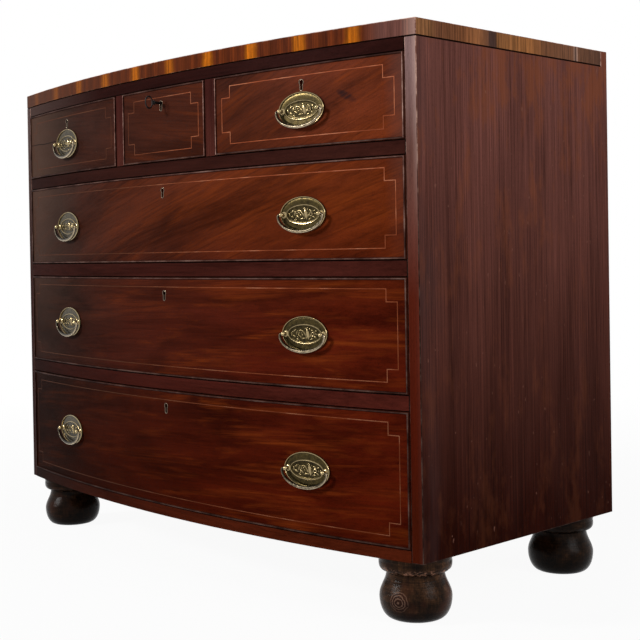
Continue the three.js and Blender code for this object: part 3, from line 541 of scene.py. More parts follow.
def rail_tone(place, colour):
    x, _, z = axes(place)
    colour = tinted(colour, grain_tone(z, RAIL_TONES))
    # The rails are painted darker towards the left, and darkest at the bottom left: painted shade.
    colour = shaded(colour, spread(x, 0.42, -0.5, 1.0, 0.42))
    far = times(spread(x, 0.0, -0.5, 0, 0.85), spread(z, 0.55, 0.2))
    colour = blend(far, colour, (0.006, 0.002, 0.001))
    bleached = times(spread(x, -0.2, -0.5, 0, 0.55), spread(z, 0.7, 0.84))
    return blend(bleached, colour, (0.075, 0.045, 0.038))


def post_tone(place, colour):
    return shaded(rail_tone(place, colour), POST_LIFT)


rail_paint = wood("mahogany_rail", "X", grain_shades, shift=2, streak=0.004, gloss=0.004, extra=rail_tone)
post_paint = wood("mahogany_post", "Z", grain_shades, shift=5, streak=0.003, gloss=0.004, extra=post_tone)
# The rail arrises next to the drawer gaps take the near-black paint, a painted shadow of the gaps.
for strip, paint in (
    ("top_front_rail", rail_paint), ("divider_rail_upper", rail_paint), ("divider_rail_middle", rail_paint),
    ("divider_rail_lower", rail_paint), ("bottom_rail", rail_paint),
    ("partition_post_left", post_paint), ("partition_post_right", post_paint),
):
    dress_copy(strip, f"{strip}_dressed", "carcase", [paint, grime_and_gap_shade_paint], RAIL_ARRIS)


# The inner boards.
# Unpolished pine where nothing shows: bottom board, back boards, dustboards, rear rail and the
# guide strips. The back boards are nailed into the rebates with cut iron nails.
PINE_DARK = (0.15, 0.068, 0.026)
PINE_MIDDLE = (0.3, 0.16, 0.07)
PINE_BRIGHT = (0.43, 0.26, 0.13)
BACK_ARRIS = 0.0015
NAIL_HEAD = 0.0035
NAIL_RIM = 0.0003
NAIL_LENGTH = 0.002
NAIL_PROUD = 0.0004
NAIL_SPACING = 0.11
NAIL_INSET = 0.0055
NAIL_BELOW_TOP = 0.022
NAIL_ABOVE_BOTTOM = 0.009


def soot(place, colour):
    patch = cloud(place, (0.16, 0.16, 0.1), 4, shift=(5, 3, 1), rough=0.6)
    return blend(spread(patch, 0.35, 0.7, 0.15, 0.75), colour, (0.085, 0.05, 0.028))


pine_shades = wood_shades(PINE_DARK, PINE_MIDDLE, PINE_BRIGHT)
pine_paint = wood("old_pine", "X", pine_shades, streak=0.01, gloss=0.1, roughness=0.72, extra=soot)
pine_deep = wood("old_pine_deep", "Y", pine_shades, streak=0.01, gloss=0.1, roughness=0.72, extra=soot)


def paint_node(node, paint):
    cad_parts[node].material_slots[0].material = paint


for board in ("bottom_board", "top_rear_rail", "dustboard_lower", "dustboard_middle", "dustboard_upper"):
    paint_node(board, pine_paint)
for hand in ("left", "right"):
    paint_node(f"partition_guide_{hand}", pine_deep)
for board in ("back_board_lower", "back_board_upper"):
    dress_copy(board, f"{board}_dressed", "carcase", [pine_paint, pine_paint], BACK_ARRIS)


def iron_paint(name, colour, roughness):
    paint, place = new_paint(name)
    rust = cloud(place, (0.004, 0.004, 0.004), 4, rough=0.7)
    shade = colour_of(rust, [(0.35, colour), (0.6, scaled(colour, 2)), (0.78, (0.1, 0.04, 0.02))])
    finish_paint(shade, spread(rust, 0.3, 0.7, roughness, roughness + 0.25), 0.3, rust, 0.0001, 0.8)
    return paint


nail_paint = iron_paint("nail_iron", (0.03, 0.026, 0.024), 0.5)


def set_in_mesh():
    bpy.ops.object.transform_apply(location=True, rotation=True, scale=True)
    return bpy.context.object


def joined_piece(parts, name):
    pick(*parts)
    bpy.ops.object.join()
    piece = set_in_mesh()
    piece.name = name
    return piece


def add_rod(sides, radius, length, centre, turn=0.0):
    bpy.ops.mesh.primitive_cylinder_add(vertices=sides, radius=radius, depth=length, location=centre,
                                        rotation=(math.pi / 2, 0, turn))
    return bpy.context.object


def soften_rim(piece, width):
    rim = piece.modifiers.new("rim", "BEVEL")
    rim.width = width
    bpy.ops.object.modifier_apply(modifier="rim")
    return piece


def drive_nail(x, z):
    nail = add_rod(10, NAIL_HEAD, NAIL_LENGTH, (x, back_high.y + NAIL_PROUD - NAIL_LENGTH / 2, z))
    nail.data.materials.append(nail_paint)
    return soften_rim(nail, NAIL_RIM)


back_low, back_high = corners(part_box("back_board_lower"))
back_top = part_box("back_board_upper")[1][2]
nails = []
for x in (back_low.x + NAIL_INSET, back_high.x - NAIL_INSET):
    count = round((back_top - back_low.z) / NAIL_SPACING)
    for i in range(count):
        nails.append(drive_nail(x, back_low.z + (i + 0.5) * (back_top - back_low.z) / count))
count = round((back_high.x - back_low.x) / NAIL_SPACING)
for i in range(1, count):
    for level in (back_top - NAIL_BELOW_TOP, back_low.z + NAIL_ABOVE_BOTTOM):
        nails.append(drive_nail(back_low.x + i * (back_high.x - back_low.x) / count, level))
back_nails = joined_piece(nails, "back_nails")
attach(back_nails, "carcase")


# The feet.
# Each is turned from one block and stained nearly black: a wide flat sole, a flattened ball, a
# short neck and a collar whose lower edge is chipped. A spigot glues it into the bottom board.
FOOT_STEPS = 72
SOLE_RADIUS = 0.037
BALL_RADIUS = 0.055
BALL_LEVEL = 0.032
NECK_RADIUS = 0.044
NECK_LEVEL = 0.069
COLLAR_RADIUS = 0.0555
COLLAR_LEVEL = 0.072
COLLAR_ROUND = 0.009
COLLAR_UNDERCUT = 0.007
SOLE_EASE = (0.002, 0.0008)
COLLAR_EASE = (0.0012, 0.0015)
SPIGOT_RADIUS = 0.012
SPIGOT_LAP = 0.001
RING_SHARES = (0.56, 0.64, 0.72)
RING_GROOVE = 0.0006
CHIP_DEPTH = 0.0066
CHIP_SIZE = 0.011
CHIP_RISE = 0.003
CHIP_REACH = 0.006
CHIP_SHIFT = Vector((9, 2, 5))
KNOT_RADIUS = 0.017
KNOT_RING = 0.0042
KNOT_TOWARDS = Vector((0.24, -0.97, 0))
KNOT_OUT = 0.053
KNOT_LEVEL = 0.033
FOOT_SEAM = 0.0003
foot_top = side_low.z - FOOT_SEAM


def foot_outline():
    outline = [(SOLE_RADIUS - SOLE_EASE[0], 0), (SOLE_RADIUS, SOLE_EASE[1])]
    for i in range(1, 9):
        turn = math.pi / 2 * i / 8
        radius = SOLE_RADIUS + (BALL_RADIUS - SOLE_RADIUS) * math.sin(turn)
        outline.append((radius, BALL_LEVEL * (1 - math.cos(turn))))
    for i in range(1, 11):
        fall = (BALL_RADIUS - NECK_RADIUS) * (1 - math.cos(math.pi * i / 10)) / 2
        outline.append((BALL_RADIUS - fall, BALL_LEVEL + (NECK_LEVEL - BALL_LEVEL) * i / 10))
    for i in range(7):
        turn = math.pi / 2 * i / 6
        radius = COLLAR_RADIUS - COLLAR_UNDERCUT * (1 - math.sin(turn))
        outline.append((radius, COLLAR_LEVEL + COLLAR_ROUND * (1 - math.cos(turn))))
    for share, groove in zip(RING_SHARES, (0, RING_GROOVE, 0)):
        outline.append((COLLAR_RADIUS - groove, COLLAR_LEVEL + (foot_top - COLLAR_LEVEL) * share))
    outline.append((COLLAR_RADIUS, foot_top - COLLAR_EASE[1]))
    outline.append((COLLAR_RADIUS - COLLAR_EASE[0], foot_top))
    return outline


def raised_rings(name, rings, centre, steps):
    width, height, level = rings[0]
    bpy.ops.mesh.primitive_circle_add(vertices=steps, radius=1, fill_type="NGON",
                                      location=(centre.x, centre.y, level))
    piece = bpy.context.object
    piece.name = name
    piece.scale = (width, height, 1)
    set_in_mesh()
    bpy.ops.object.mode_set(mode="EDIT")
    bpy.ops.mesh.select_mode(type="FACE")
    bpy.ops.mesh.select_all(action="SELECT")
    for next_width, next_height, next_level in rings[1:]:
        bpy.ops.mesh.extrude_region_move(TRANSFORM_OT_translate={"value": (0, 0, next_level - level)})
        bpy.ops.transform.resize(value=(next_width / width, next_height / height, 1),
                                 center_override=(centre.x, centre.y, next_level))
        width, height, level = next_width, next_height, next_level
    bpy.ops.mesh.select_all(action="SELECT")
    bpy.ops.mesh.normals_make_consistent(inside=False)
    bpy.ops.object.mode_set(mode="OBJECT")
    smooth(35)
    return piece


def turned_piece(name, outline, centre, steps):
    return raised_rings(name, [(radius, radius, level) for radius, level in outline], centre, steps)


def foot_paint(name, knot, wear_and_light):
    paint, place = new_paint(name)
    z = axes(place)[2]
    mottle = cloud(place, (0.018, 0.018, 0.012), 5, rough=0.65)
    lathe = cloud(place, (0.4, 0.4, 0.0011), 3, rough=0.6)
    grain = cloud(place, (0.0022, 0.0022, 0.04), 3, rough=0.6)
    value = calc("MULTIPLY_ADD", lathe, 0.25, times(grain, 0.25))
    value = calc("MULTIPLY_ADD", mottle, 0.5, value)
    colour = colour_of(value, [
        (0.34, (0.0035, 0.0014, 0.0007)), (0.46, (0.013, 0.0058, 0.0028)), (0.55, (0.034, 0.015, 0.0066)),
        (0.67, (0.11, 0.048, 0.022)),
    ])
    away = add_node(place, "VectorMath", {"operation": "DISTANCE"}, i0=place, i1=knot).outputs["Value"]
    warped = calc("MULTIPLY_ADD", mottle, 0.011, away)
    rings = calc("SINE", times(warped, 2 * math.pi / KNOT_RING))
    eye = spread(away, KNOT_RADIUS, KNOT_RADIUS * 0.75)
    ring_share = times(eye, spread(rings, -0.95, -0.1))
    colour = blend(times(ring_share, 0.75 * wear_and_light), colour, (0.022, 0.0075, 0.0045))
    pale = times(minus(eye, ring_share), 0.6 * wear_and_light)
    colour = blend(pale, colour, (0.2, 0.11, 0.075))
    edge = times(spread(z, COLLAR_LEVEL + 0.01, COLLAR_LEVEL + CHIP_RISE),
                 spread(z, COLLAR_LEVEL - CHIP_RISE, COLLAR_LEVEL + 0.001))
    flakes = cloud(place, (0.007, 0.007, 0.004), 4, rough=0.7)
    worn = times(edge, spread(flakes, 0.5, 0.62, 0, 0.9 * wear_and_light))
    colour = blend(worn, colour, (0.28, 0.135, 0.085))
    ruddy = spread(cloud(place, (0.045, 0.045, 0.06), 2, shift=(4, 4, 4)), 0.5, 0.68, 0, 0.55)
    colour = blend(ruddy, colour, (0.075, 0.022, 0.01))
    # Painted darker towards the sole, a painted shade under the ball, and brighter overall on the front
    # right foot, painted light.
    colour = shaded(colour, spread(z, 0.004, 0.04, 0.15, 0.35 + 0.85 * wear_and_light))
    height = calc("MULTIPLY_ADD", rings, times(eye, 0.15), mottle)
    height = calc("MULTIPLY_ADD", lathe, 0.7, height)
    finish_paint(colour, spread(mottle, 0.35, 0.65, 0.15, 0.25), 0.045, height, 0.0005)
    return paint


for end in ("front", "rear"):
    for hand in ("left", "right"):
        node = f"foot_{end}_{hand}"
        low, high = corners(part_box(node))
        middle = Vector(((low.x + high.x) / 2, (low.y + high.y) / 2, 0))
        foot = turned_piece(f"{node}_turned", foot_outline(), middle, FOOT_STEPS)
        for vertex in foot.data.vertices:
            outwards = Vector((vertex.co.x - middle.x, vertex.co.y - middle.y, 0))
            near = max(0, 1 - abs(vertex.co.z - COLLAR_LEVEL - CHIP_RISE) / CHIP_REACH)
            chip = max(0, noise.noise(vertex.co / CHIP_SIZE + CHIP_SHIFT) - 0.05) * near * CHIP_DEPTH
            vertex.co -= outwards.normalized() * chip
        spigot_bottom = foot_top - SPIGOT_LAP
        bpy.ops.mesh.primitive_cylinder_add(vertices=24, radius=SPIGOT_RADIUS, depth=high.z - spigot_bottom,
                                            location=(middle.x, middle.y, (high.z + spigot_bottom) / 2))
        foot = joined_piece([foot, bpy.context.object], f"{node}_turned")
        knot = middle + KNOT_TOWARDS.normalized() * KNOT_OUT + Vector((0, 0, KNOT_LEVEL))
        foot.data.materials.clear()
        # The front right foot is painted more worn and brighter than the other three, whose darkness is
        # painted shade.
        wear_and_light = 1.0 if node == "foot_front_right" else 0.12
        foot.data.materials.append(foot_paint(f"{node}_stain", knot, wear_and_light))
        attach(foot, "carcase")
        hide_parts(node)


# The drawer fronts.
# Each is a bowed board faced with figured mahogany, with a rounded cock bead standing proud round
# its edges, a keyhole, bores for the shanks of its handles, laps for the sides and a groove.
FRONT_THICKNESS = 0.022
BEAD_WIDTH = 0.0032
BEAD_PROUD = 0.0018
BEAD_ROUND = 0.0009
BOW_CHORD = 0.026
FRONT_LAP = 0.008
BOX_SIDE = 0.011
BOX_INSET = 0.0005
BOX_DROP = 0.003
SEAM = 0.0003
PANEL_LIFT = 0.009
PANEL_THICKNESS = 0.006
PANEL_GROOVE = 0.005
KEYHOLE_RADIUS = 0.0034
KEYHOLE_HALF_WIDTH = 0.002
KEYHOLE_LEG = 0.0124
KEYHOLE_DROP = 0.0268
KEYHOLE_DEPTH = 0.014
SHANK_RADIUS = 0.0022
POST_PLACE = 0.0375
HANDLE_INSET = 0.187
LOCK_RECESS = 0.006
LOCK_HALF_WIDTH = 0.03
LOCK_BELOW_KEY = 0.013
FIGURE_TONES = [
    (0.18, (0.063, 0.0062, 0.0016)), (0.45, (0.072, 0.008, 0.0026)), (0.62, (0.108, 0.0185, 0.004)),
    (0.8, (0.118, 0.0235, 0.0085)),
]
LEFT_SHADED_TONES = [
    (0.18, (0.01, 0.002, 0.0006)), (0.45, (0.0185, 0.0078, 0.0054)), (0.62, (0.018, 0.0082, 0.0062)),
    (0.8, (0.0265, 0.014, 0.0115)),
]
SMUDGE_LENGTH = 0.02
SMUDGE_WIDTH = 0.0075
SMUDGE_FALL = 0.45
CRACK_HALF_WIDTH = 0.0005
SMUDGE_INSET = 0.1
SMUDGE_SHARE = 0.56
CRACK_SHARE = 0.53
CRACK_RISE = 0.005
CRACK_FROM_HANDLE = 0.03
CRACK_FADE = 0.03
CUT_PAST = 0.002
BORE_LENGTH = 0.07
TOUCH = 0.00001
handle_x = side_low.x - HANDLE_INSET
short_low, short_high = corners(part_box("short_right_front"))
smudge_x = short_high.x - SMUDGE_INSET
smudge_level = short_low.z + SMUDGE_SHARE * (short_high.z - short_low.z)
crack_level = short_low.z + CRACK_SHARE * (short_high.z - short_low.z)
crack_start = -handle_x - CRACK_FROM_HANDLE


def bow_y(x, inset=0.0):
    return BOW_AXIS - math.sqrt((BOW_RADIUS - inset) ** 2 - x * x)


def press_to_bow(piece):
    for vertex in piece.data.vertices:
        vertex.co.y = bow_y(vertex.co.x, vertex.co.y)


def add_block(x, y, z):
    bpy.ops.mesh.primitive_cube_add(size=1, location=[sum(ends) / 2 for ends in (x, y, z)])
    bpy.context.object.scale = [ends[1] - ends[0] for ends in (x, y, z)]
    return set_in_mesh()


def unpick_all(kind):
    bpy.ops.object.mode_set(mode="EDIT")
    bpy.ops.mesh.select_mode(type=kind)
    bpy.ops.mesh.select_all(action="DESELECT")
    bpy.ops.object.mode_set(mode="OBJECT")


def pick_faces(piece, wanted):
    unpick_all("FACE")
    for face in piece.data.polygons:
        face.select = wanted(face)
    bpy.ops.object.mode_set(mode="EDIT")


def pick_edges(piece, wanted):
    unpick_all("EDGE")
    for edge in piece.data.edges:
        edge.select = wanted(*(piece.data.vertices[end].co for end in edge.vertices))
    bpy.ops.object.mode_set(mode="EDIT")


def cut_away(piece, cutters):
    tool = joined_piece(cutters, "cutter")
    pick(piece)
    cut = piece.modifiers.new("cut", "BOOLEAN")
    cut.operation = "DIFFERENCE"
    cut.solver = "EXACT"
    cut.use_self = True
    cut.object = tool
    bpy.ops.object.modifier_apply(modifier="cut")
    bpy.data.objects.remove(tool)


def slice_along(piece, width):
    pick_edges(piece, lambda a, b: abs(a.x - b.x) > 0.9 * width)
    bpy.ops.mesh.subdivide(number_cuts=max(1, round(width / BOW_CHORD) - 1))
    bpy.ops.object.mode_set(mode="OBJECT")


def beaded_board(low, high):
    middle = (low + high) / 2
    half_width = (high.x - low.x) / 2
    half_height = (high.z - low.z) / 2
    board = add_block((low.x, high.x), (0, FRONT_THICKNESS), (low.z, high.z))
    slice_along(board, high.x - low.x)
    pick_faces(board, lambda face: face.normal.y < -0.9)
    bpy.ops.mesh.inset(thickness=BEAD_WIDTH, depth=0)
    pick_faces(board, lambda face: face.normal.y < -0.9 and (
        abs(face.center.x - middle.x) > half_width - BEAD_WIDTH * 0.99
        or abs(face.center.z - middle.z) > half_height - BEAD_WIDTH * 0.99))
    bpy.ops.mesh.extrude_region_move(TRANSFORM_OT_translate={"value": (0, -BEAD_PROUD, 0)})

    def on_line(first, second, lines):
        return any(abs(first - line) < TOUCH and abs(second - line) < TOUCH for line in lines)

    def on_bead(a, b):
        upright = on_line(abs(a.x - middle.x), abs(b.x - middle.x), (half_width, half_width - BEAD_WIDTH))
        level = on_line(abs(a.z - middle.z), abs(b.z - middle.z), (half_height, half_height - BEAD_WIDTH))
        return max(a.y, b.y) <= -BEAD_PROUD + TOUCH and (upright or level)

    pick_edges(board, on_bead)
    bpy.ops.mesh.bevel(offset=BEAD_ROUND, segments=3, profile=0.5, affect="EDGES")
    bpy.ops.object.mode_set(mode="OBJECT")
    return board


def figured_front(name, tilt, shift, polish):
    def figure(place, colour):
        x, _, z = axes(place)
        flame = cloud(place, (0.2, 0.2, 0.022), 4, (0, tilt * 1.6, 0), (shift, 2, 1), 0.6, 0.6)
        zone = cloud(place, (0.16, 0.16, 0.08), 3, (0, tilt, 0), (shift, 5, 3), 0.4)
        # The veneer is painted darker towards the bottom, and darker and greyer towards the left: painted
        # shade, with a painted grey haze of reflection on the left.
        leftward = calc("MULTIPLY_ADD", minus(zone, 0.5), 0.3, x)
        tone = blend(spread(leftward, 0.44, -0.38), grain_tone(z, FIGURE_TONES), grain_tone(z, LEFT_SHADED_TONES))
        colour = tinted(colour, tone)
        colour = blend(spread(zone, 0.5, 0.3, 0, 0.55), colour, (0.45, 0.38, 0.36), "MULTIPLY")
        rays = cloud(place, (0.13, 0.13, 0.0042), 3, (0, tilt * 1.3, 0), (shift, 1, 4), 0.5, 0.6)
        # The flame figure is painted stronger towards the right, a painted sheen.
        lit = spread(x, -0.25, 0.3, 0.15, 1)
        warm = times(spread(flame, 0.48, 0.7), lit)
        warm = times(warm, spread(rays, 0.4, 0.62, 0.25, 1))
        colour = blend(times(warm, 0.56), colour, (0.23, 0.041, 0.006))
        dark = times(spread(rays, 0.46, 0.34), 0.2)
        colour = blend(dark, colour, (0.006, 0.0016, 0.0009))
        upper = times(spread(x, 0.34, 0.22, 0, 0.36), spread(z, 0.68, 0.7))
        colour = shaded(colour, minus(1, upper))
        end = times(spread(x, 0.485, 0.52), spread(z, 0.5, 0.8, 0, 0.5))
        colour = blend(end, colour, (0.12, 0.06, 0.05))
        bleached = times(spread(x, -0.28, -0.48, 0, 0.6), spread(z, 0.35, 0.72))
        colour = blend(bleached, colour, (0.078, 0.039, 0.025))
        across = minus(x, smudge_x)
        down = calc("MULTIPLY_ADD", across, SMUDGE_FALL, minus(z, smudge_level))
        away = calc("ADD", calc("POWER", calc("DIVIDE", across, SMUDGE_LENGTH), 2),
                    calc("POWER", calc("DIVIDE", down, SMUDGE_WIDTH), 2))
        smudge = times(spread(away, 1.0, 0.2, 0, 0.85), spread(rays, 0.66, 0.4, 0.3, 1))
        colour = blend(smudge, colour, (0.016, 0.0075, 0.0085))
        wavy = calc("MULTIPLY_ADD", zone, 2 * CRACK_RISE, minus(z, crack_level + CRACK_RISE))
        off = calc("ABSOLUTE", wavy)
        crack = times(spread(off, 2 * CRACK_HALF_WIDTH, CRACK_HALF_WIDTH),
                      spread(x, crack_start, crack_start - CRACK_FADE))
        return blend(crack, colour, (0.005, 0.0025, 0.002))

    return wood(name, "X", grain_shades, tilt=tilt, shift=shift, streak=0.0042, gloss=polish,
                roughness=0.28, extra=figure, streaks=0.29)


def drawer_front(name, key_x, handles, handle_level, lock, figure_paint):
    low, high = corners(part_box(f"{name}_front"))
    front = beaded_board(low, high)
    front.name = f"{name}_front_veneered"
    middle = (low + high) / 2
    for face in front.data.polygons:
        past_x = abs(face.center.x - middle.x) - (high.x - low.x - BEAD_WIDTH) / 2
        past_z = abs(face.center.z - middle.z) - (high.z - low.z - BEAD_WIDTH) / 2
        # The bead's flat ridge is painted pale, partly worn wood and partly a painted highlight, brighter
        # on the upright beads than on the level ones.
        if face.center.y < -0.99 * BEAD_PROUD and abs(face.normal.y) > 0.9:
            face.material_index = 2 if past_x > past_z else 3
        elif face.center.y < -TOUCH or (max(past_x, past_z) > 0 and face.center.y < BEAD_PROUD):
            face.material_index = 1
    rear = (FRONT_LAP, FRONT_THICKNESS + CUT_PAST)
    lap_top = high.z - BOX_DROP + SEAM
    wall = BOX_INSET + BOX_SIDE + SEAM
    panel_reach = BOX_INSET + BOX_SIDE - PANEL_GROOVE
    cutters = [
        add_block((low.x - CUT_PAST, low.x + wall), rear, (low.z - CUT_PAST, lap_top)),
        add_block((high.x - wall, high.x + CUT_PAST), rear, (low.z - CUT_PAST, lap_top)),
        add_block((low.x + panel_reach, high.x - panel_reach), (FRONT_THICKNESS - PANEL_GROOVE, rear[1]),
                  (low.z + PANEL_LIFT - SEAM, low.z + PANEL_LIFT + PANEL_THICKNESS + SEAM)),
    ]
    level = high.z - KEYHOLE_DROP
    if lock:
        cutters.append(add_block((-LOCK_HALF_WIDTH - SEAM, LOCK_HALF_WIDTH + SEAM),
                                 (FRONT_THICKNESS - LOCK_RECESS, rear[1]),
                                 (level - LOCK_BELOW_KEY - SEAM, high.z + CUT_PAST)))
    cut_away(front, cutters)
    press_to_bow(front)
    start = bow_y(key_x) - CUT_PAST
    end = bow_y(key_x) + (FRONT_THICKNESS if lock else KEYHOLE_DEPTH)
    bores = [
        add_rod(24, KEYHOLE_RADIUS, end - start, (key_x, (start + end) / 2, level)),
        add_block((key_x - KEYHOLE_HALF_WIDTH, key_x + KEYHOLE_HALF_WIDTH), (start, end),
                  (level - KEYHOLE_LEG, level)),
    ]
    for x in handles:
        angle = math.asin(x / BOW_RADIUS)
        sideways = Vector((math.cos(angle), math.sin(angle), 0))
        for post in (-POST_PLACE, POST_PLACE):
            spot = Vector((x, bow_y(x), handle_level)) + sideways * post
            bores.append(add_rod(16, SHANK_RADIUS + SEAM, BORE_LENGTH, spot, angle))
    cut_away(front, bores)
    smooth(32)
    for paint in (figure_paint, bead_paint, ridge_highlight_paint, level_ridge_highlight_paint):
        front.data.materials.append(paint)
    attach(front, f"{name}_drawer")
    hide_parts(f"{name}_front")


def bead_finish(name, dark, middle, pale, shares):
    paint, place = new_paint(name)
    x, _, z = axes(place)
    patch = cloud(place, (0.05, 0.05, 0.03), 4, rough=0.65)
    colour = colour_of(patch, [(0.36, dark), (0.5, middle), (0.66, pale)])
    # The beads are painted darker towards the bottom and towards the left: painted shade.
    fade = [(level, (share, share, share)) for level, share in zip((0.14, 0.45, 0.67, 0.7), shares)]
    colour = shaded(colour, colour_of(z, fade))
    colour = shaded(colour, spread(x, 0.1, -0.5, 1.0, 0.55))
    finish_paint(colour, 0.38, 0.01, patch, 0.0002)
    return paint


bead_paint = bead_finish("cock_bead", (0.016, 0.0046, 0.0028), (0.038, 0.0105, 0.0062),
                         (0.08, 0.026, 0.016), (0.75, 0.85, 1.0, 1.0))
# The ridges are painted pale, partly worn wood and partly a painted highlight; at the top the level ridges
# are painted much darker than the upright ones, a painted shade.
ridge_highlight_paint = bead_finish("cock_bead_ridge_highlight", (0.09, 0.036, 0.027), (0.24, 0.12, 0.095),
                          (0.46, 0.29, 0.24), (0.22, 0.34, 0.75, 1.1))
level_ridge_highlight_paint = bead_finish("cock_bead_level_highlight", (0.08, 0.032, 0.024), (0.2, 0.1, 0.08),
                                (0.38, 0.24, 0.2), (0.22, 0.34, 0.75, 0.28))
FRONTS = [
    ("short_left", -handle_x, [-handle_x], 0.05, 1.0, 0.006),
    ("short_centre", 0, [], 0.1, 2.0, 0.006),
    ("short_right", handle_x, [handle_x], -0.3, 3.0, 0.008),
    ("long_upper", 0, [-handle_x, handle_x], -0.22, 4.0, 0.006),
    ("long_middle", 0, [-handle_x, handle_x], -0.02, 5.0, 0.004),
    ("long_lower", 0, [-handle_x, handle_x], -0.04, 6.0, 0.003),
]
plate_levels = {}
for name, key_x, handles, tilt, shift, polish in FRONTS:
    if handles:
        plate = f"{name}_handle_plate" + ("_left" if len(handles) > 1 else "")
        plate_low, plate_high = corners(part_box(plate))
        plate_levels[name] = (plate_low.z + plate_high.z) / 2
    paint = figured_front(f"mahogany_{name}", tilt, shift, polish)
    drawer_front(name, key_x, handles, plate_levels.get(name), name == "short_centre", paint)


# The stringing.
# A line of boxwood, as wide as a coin is thick, is let into each drawer front a finger's width
# inside the bead. At each corner it steps inwards. Most of it has darkened under the polish, and
# it is painted darker towards the left and the bottom, a painted shade.
STRING_WIDTH = 0.0013
STRING_PROUD = 0.0001
STRING_DEEP = 0.0008
STRING_STEP = 0.019
STRING_MARGIN = 0.0165


def boxwood_paint():
    paint, place = new_paint("boxwood")
    x, _, z = axes(place)
    patch = cloud(place, (0.05, 0.05, 0.05), 3, rough=0.6)
    colour = colour_of(patch, [
        (0.34, (0.21, 0.048, 0.018)), (0.5, (0.31, 0.078, 0.031)), (0.64, (0.44, 0.16, 0.082)),
    ])
    # The line is painted darker towards the bottom and much darker towards the left: painted shade.
    colour = shaded(colour, spread(z, 0.25, 0.75, 0.5, 1.15))
    colour = blend(spread(x, 0.24, -0.14, 0, 0.88), colour, (0.04, 0.0165, 0.009))
    finish_paint(colour, 0.38, 0.01, patch, 0.0001)
    return paint


string_paint = boxwood_paint()


def string_strip(x, z):
    half = STRING_WIDTH / 2
    reach = (x[0] - half, x[1] + half)
    rise = (z[0] - half, z[1] + half) if z[0] == z[1] else (z[0] + half, z[1] - half)
    strip = add_block(reach, (-STRING_PROUD, STRING_DEEP), rise)
    if reach[1] - reach[0] > 2 * BOW_CHORD:
        slice_along(strip, reach[1] - reach[0])
    return strip


for name, *_ in FRONTS:
    low, high = corners(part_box(f"{name}_front"))
    strips = []
    left, right = low.x + STRING_MARGIN, high.x - STRING_MARGIN
    bottom, top_line = low.z + STRING_MARGIN, high.z - STRING_MARGIN
    for line, stepped in ((bottom, bottom + STRING_STEP), (top_line, top_line - STRING_STEP)):
        strips.append(string_strip((left + STRING_STEP, right - STRING_STEP), (line, line)))
        for edge, turn in ((left, left + STRING_STEP), (right, right - STRING_STEP)):
            strips.append(string_strip(sorted((edge, turn)), (stepped, stepped)))
            strips.append(string_strip((turn, turn), sorted((line, stepped))))
    for edge in (left, right):
        strips.append(string_strip((edge, edge), (bottom + STRING_STEP, top_line - STRING_STEP)))
    stringing = joined_piece(strips, f"{name}_stringing")
    press_to_bow(stringing)
    stringing.data.materials.append(string_paint)
    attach(stringing, f"{name}_drawer")


# The thread escutcheons.
# A ribbon of brass bent round each keyhole and driven into the wood, so that only its thin rim
# shows. The rims have worn soft and their foot is round.
THREAD_WIRE = 0.0006
THREAD_HEAD = 0.0043
THREAD_LEG = 0.0028
THREAD_FOOT = 0.0132
THREAD_NECK = math.radians(-48)
THREAD_FLATTENING = 0.7


def wire_piece(name, points, radii, thickness, closed):
    curve = bpy.data.curves.new(name, "CURVE")
    curve.dimensions = "3D"
    curve.bevel_depth = thickness
    curve.bevel_resolution = 4
    curve.use_fill_caps = not closed
    line = curve.splines.new("POLY")
    line.points.add(len(points) - 1)
    for knot, point, radius in zip(line.points, points, radii):
        knot.co = (*point, 1)
        knot.radius = radius
    line.use_cyclic_u = closed
    pick(new_piece(name, curve))
    bpy.ops.object.convert(target="MESH")
    return bpy.context.object


def brass_paint(name, dark, bright, tone):
    paint, place = new_paint(name)
    relief = add_node(place, "Attribute", {"attribute_name": "relief"}).outputs["Fac"]
    tarnish = cloud(place, (0.006, 0.006, 0.006), 5, rough=0.7)
    spots = cloud(place, (0.0012, 0.0012, 0.0012), 3, rough=0.6)
    level = calc("MULTIPLY_ADD", minus(tarnish, 0.5), 0.9, relief)
    level = calc("MULTIPLY_ADD", minus(spots, 0.5), 0.4, level)
    # Colour follows the relief mark: dark patina in the hollows, and the raised parts painted bright,
    # partly rubbed brass and partly a painted highlight.
    colour = colour_of(level, [(0.1, dark), (0.42, tone), (0.72, bright), (1.0, scaled(bright, 1.35))])
    shine = spread(level, 0.1, 0.9, 0.3, 0.19)
    finish_paint(colour, shine, 0.5, tarnish, 0.00012, 0.92)
    return paint


thread_brass = brass_paint("thread_brass", (0.03, 0.022, 0.014), (0.11, 0.085, 0.06), (0.06, 0.045, 0.032))


def mark_relief(piece, start, full):
    marks = piece.data.attributes.new("relief", "FLOAT", "POINT")
    for vertex in piece.data.vertices:
        share = (-vertex.co.y - start) / (full - start)
        marks.data[vertex.index].value = min(1, max(0, share))


def keyhole_line(x, level):
    points = []
    for i in range(21):
        turn = THREAD_NECK + (math.pi - 2 * THREAD_NECK) * i / 20
        points.append((x + THREAD_HEAD * math.cos(turn), 0, level + THREAD_HEAD * math.sin(turn)))
    foot = THREAD_FOOT - THREAD_LEG
    for i in range(9):
        turn = math.pi + math.pi * i / 8
        points.append((x + THREAD_LEG * math.cos(turn), 0, level - foot + THREAD_LEG * math.sin(turn)))
    return points


for name, key_x, *_ in FRONTS:
    outline = keyhole_line(key_x, corners(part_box(f"{name}_front"))[1].z - KEYHOLE_DROP)
    thread = wire_piece(f"{name}_escutcheon", outline, [1] * len(outline), THREAD_WIRE, True)
    mark_relief(thread, -THREAD_WIRE, 0.5 * THREAD_WIRE)
    for vertex in thread.data.vertices:
        vertex.co.y *= THREAD_FLATTENING
    press_to_bow(thread)
    smooth(40)
    thread.data.materials.append(thread_brass)
    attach(thread, f"{name}_drawer")


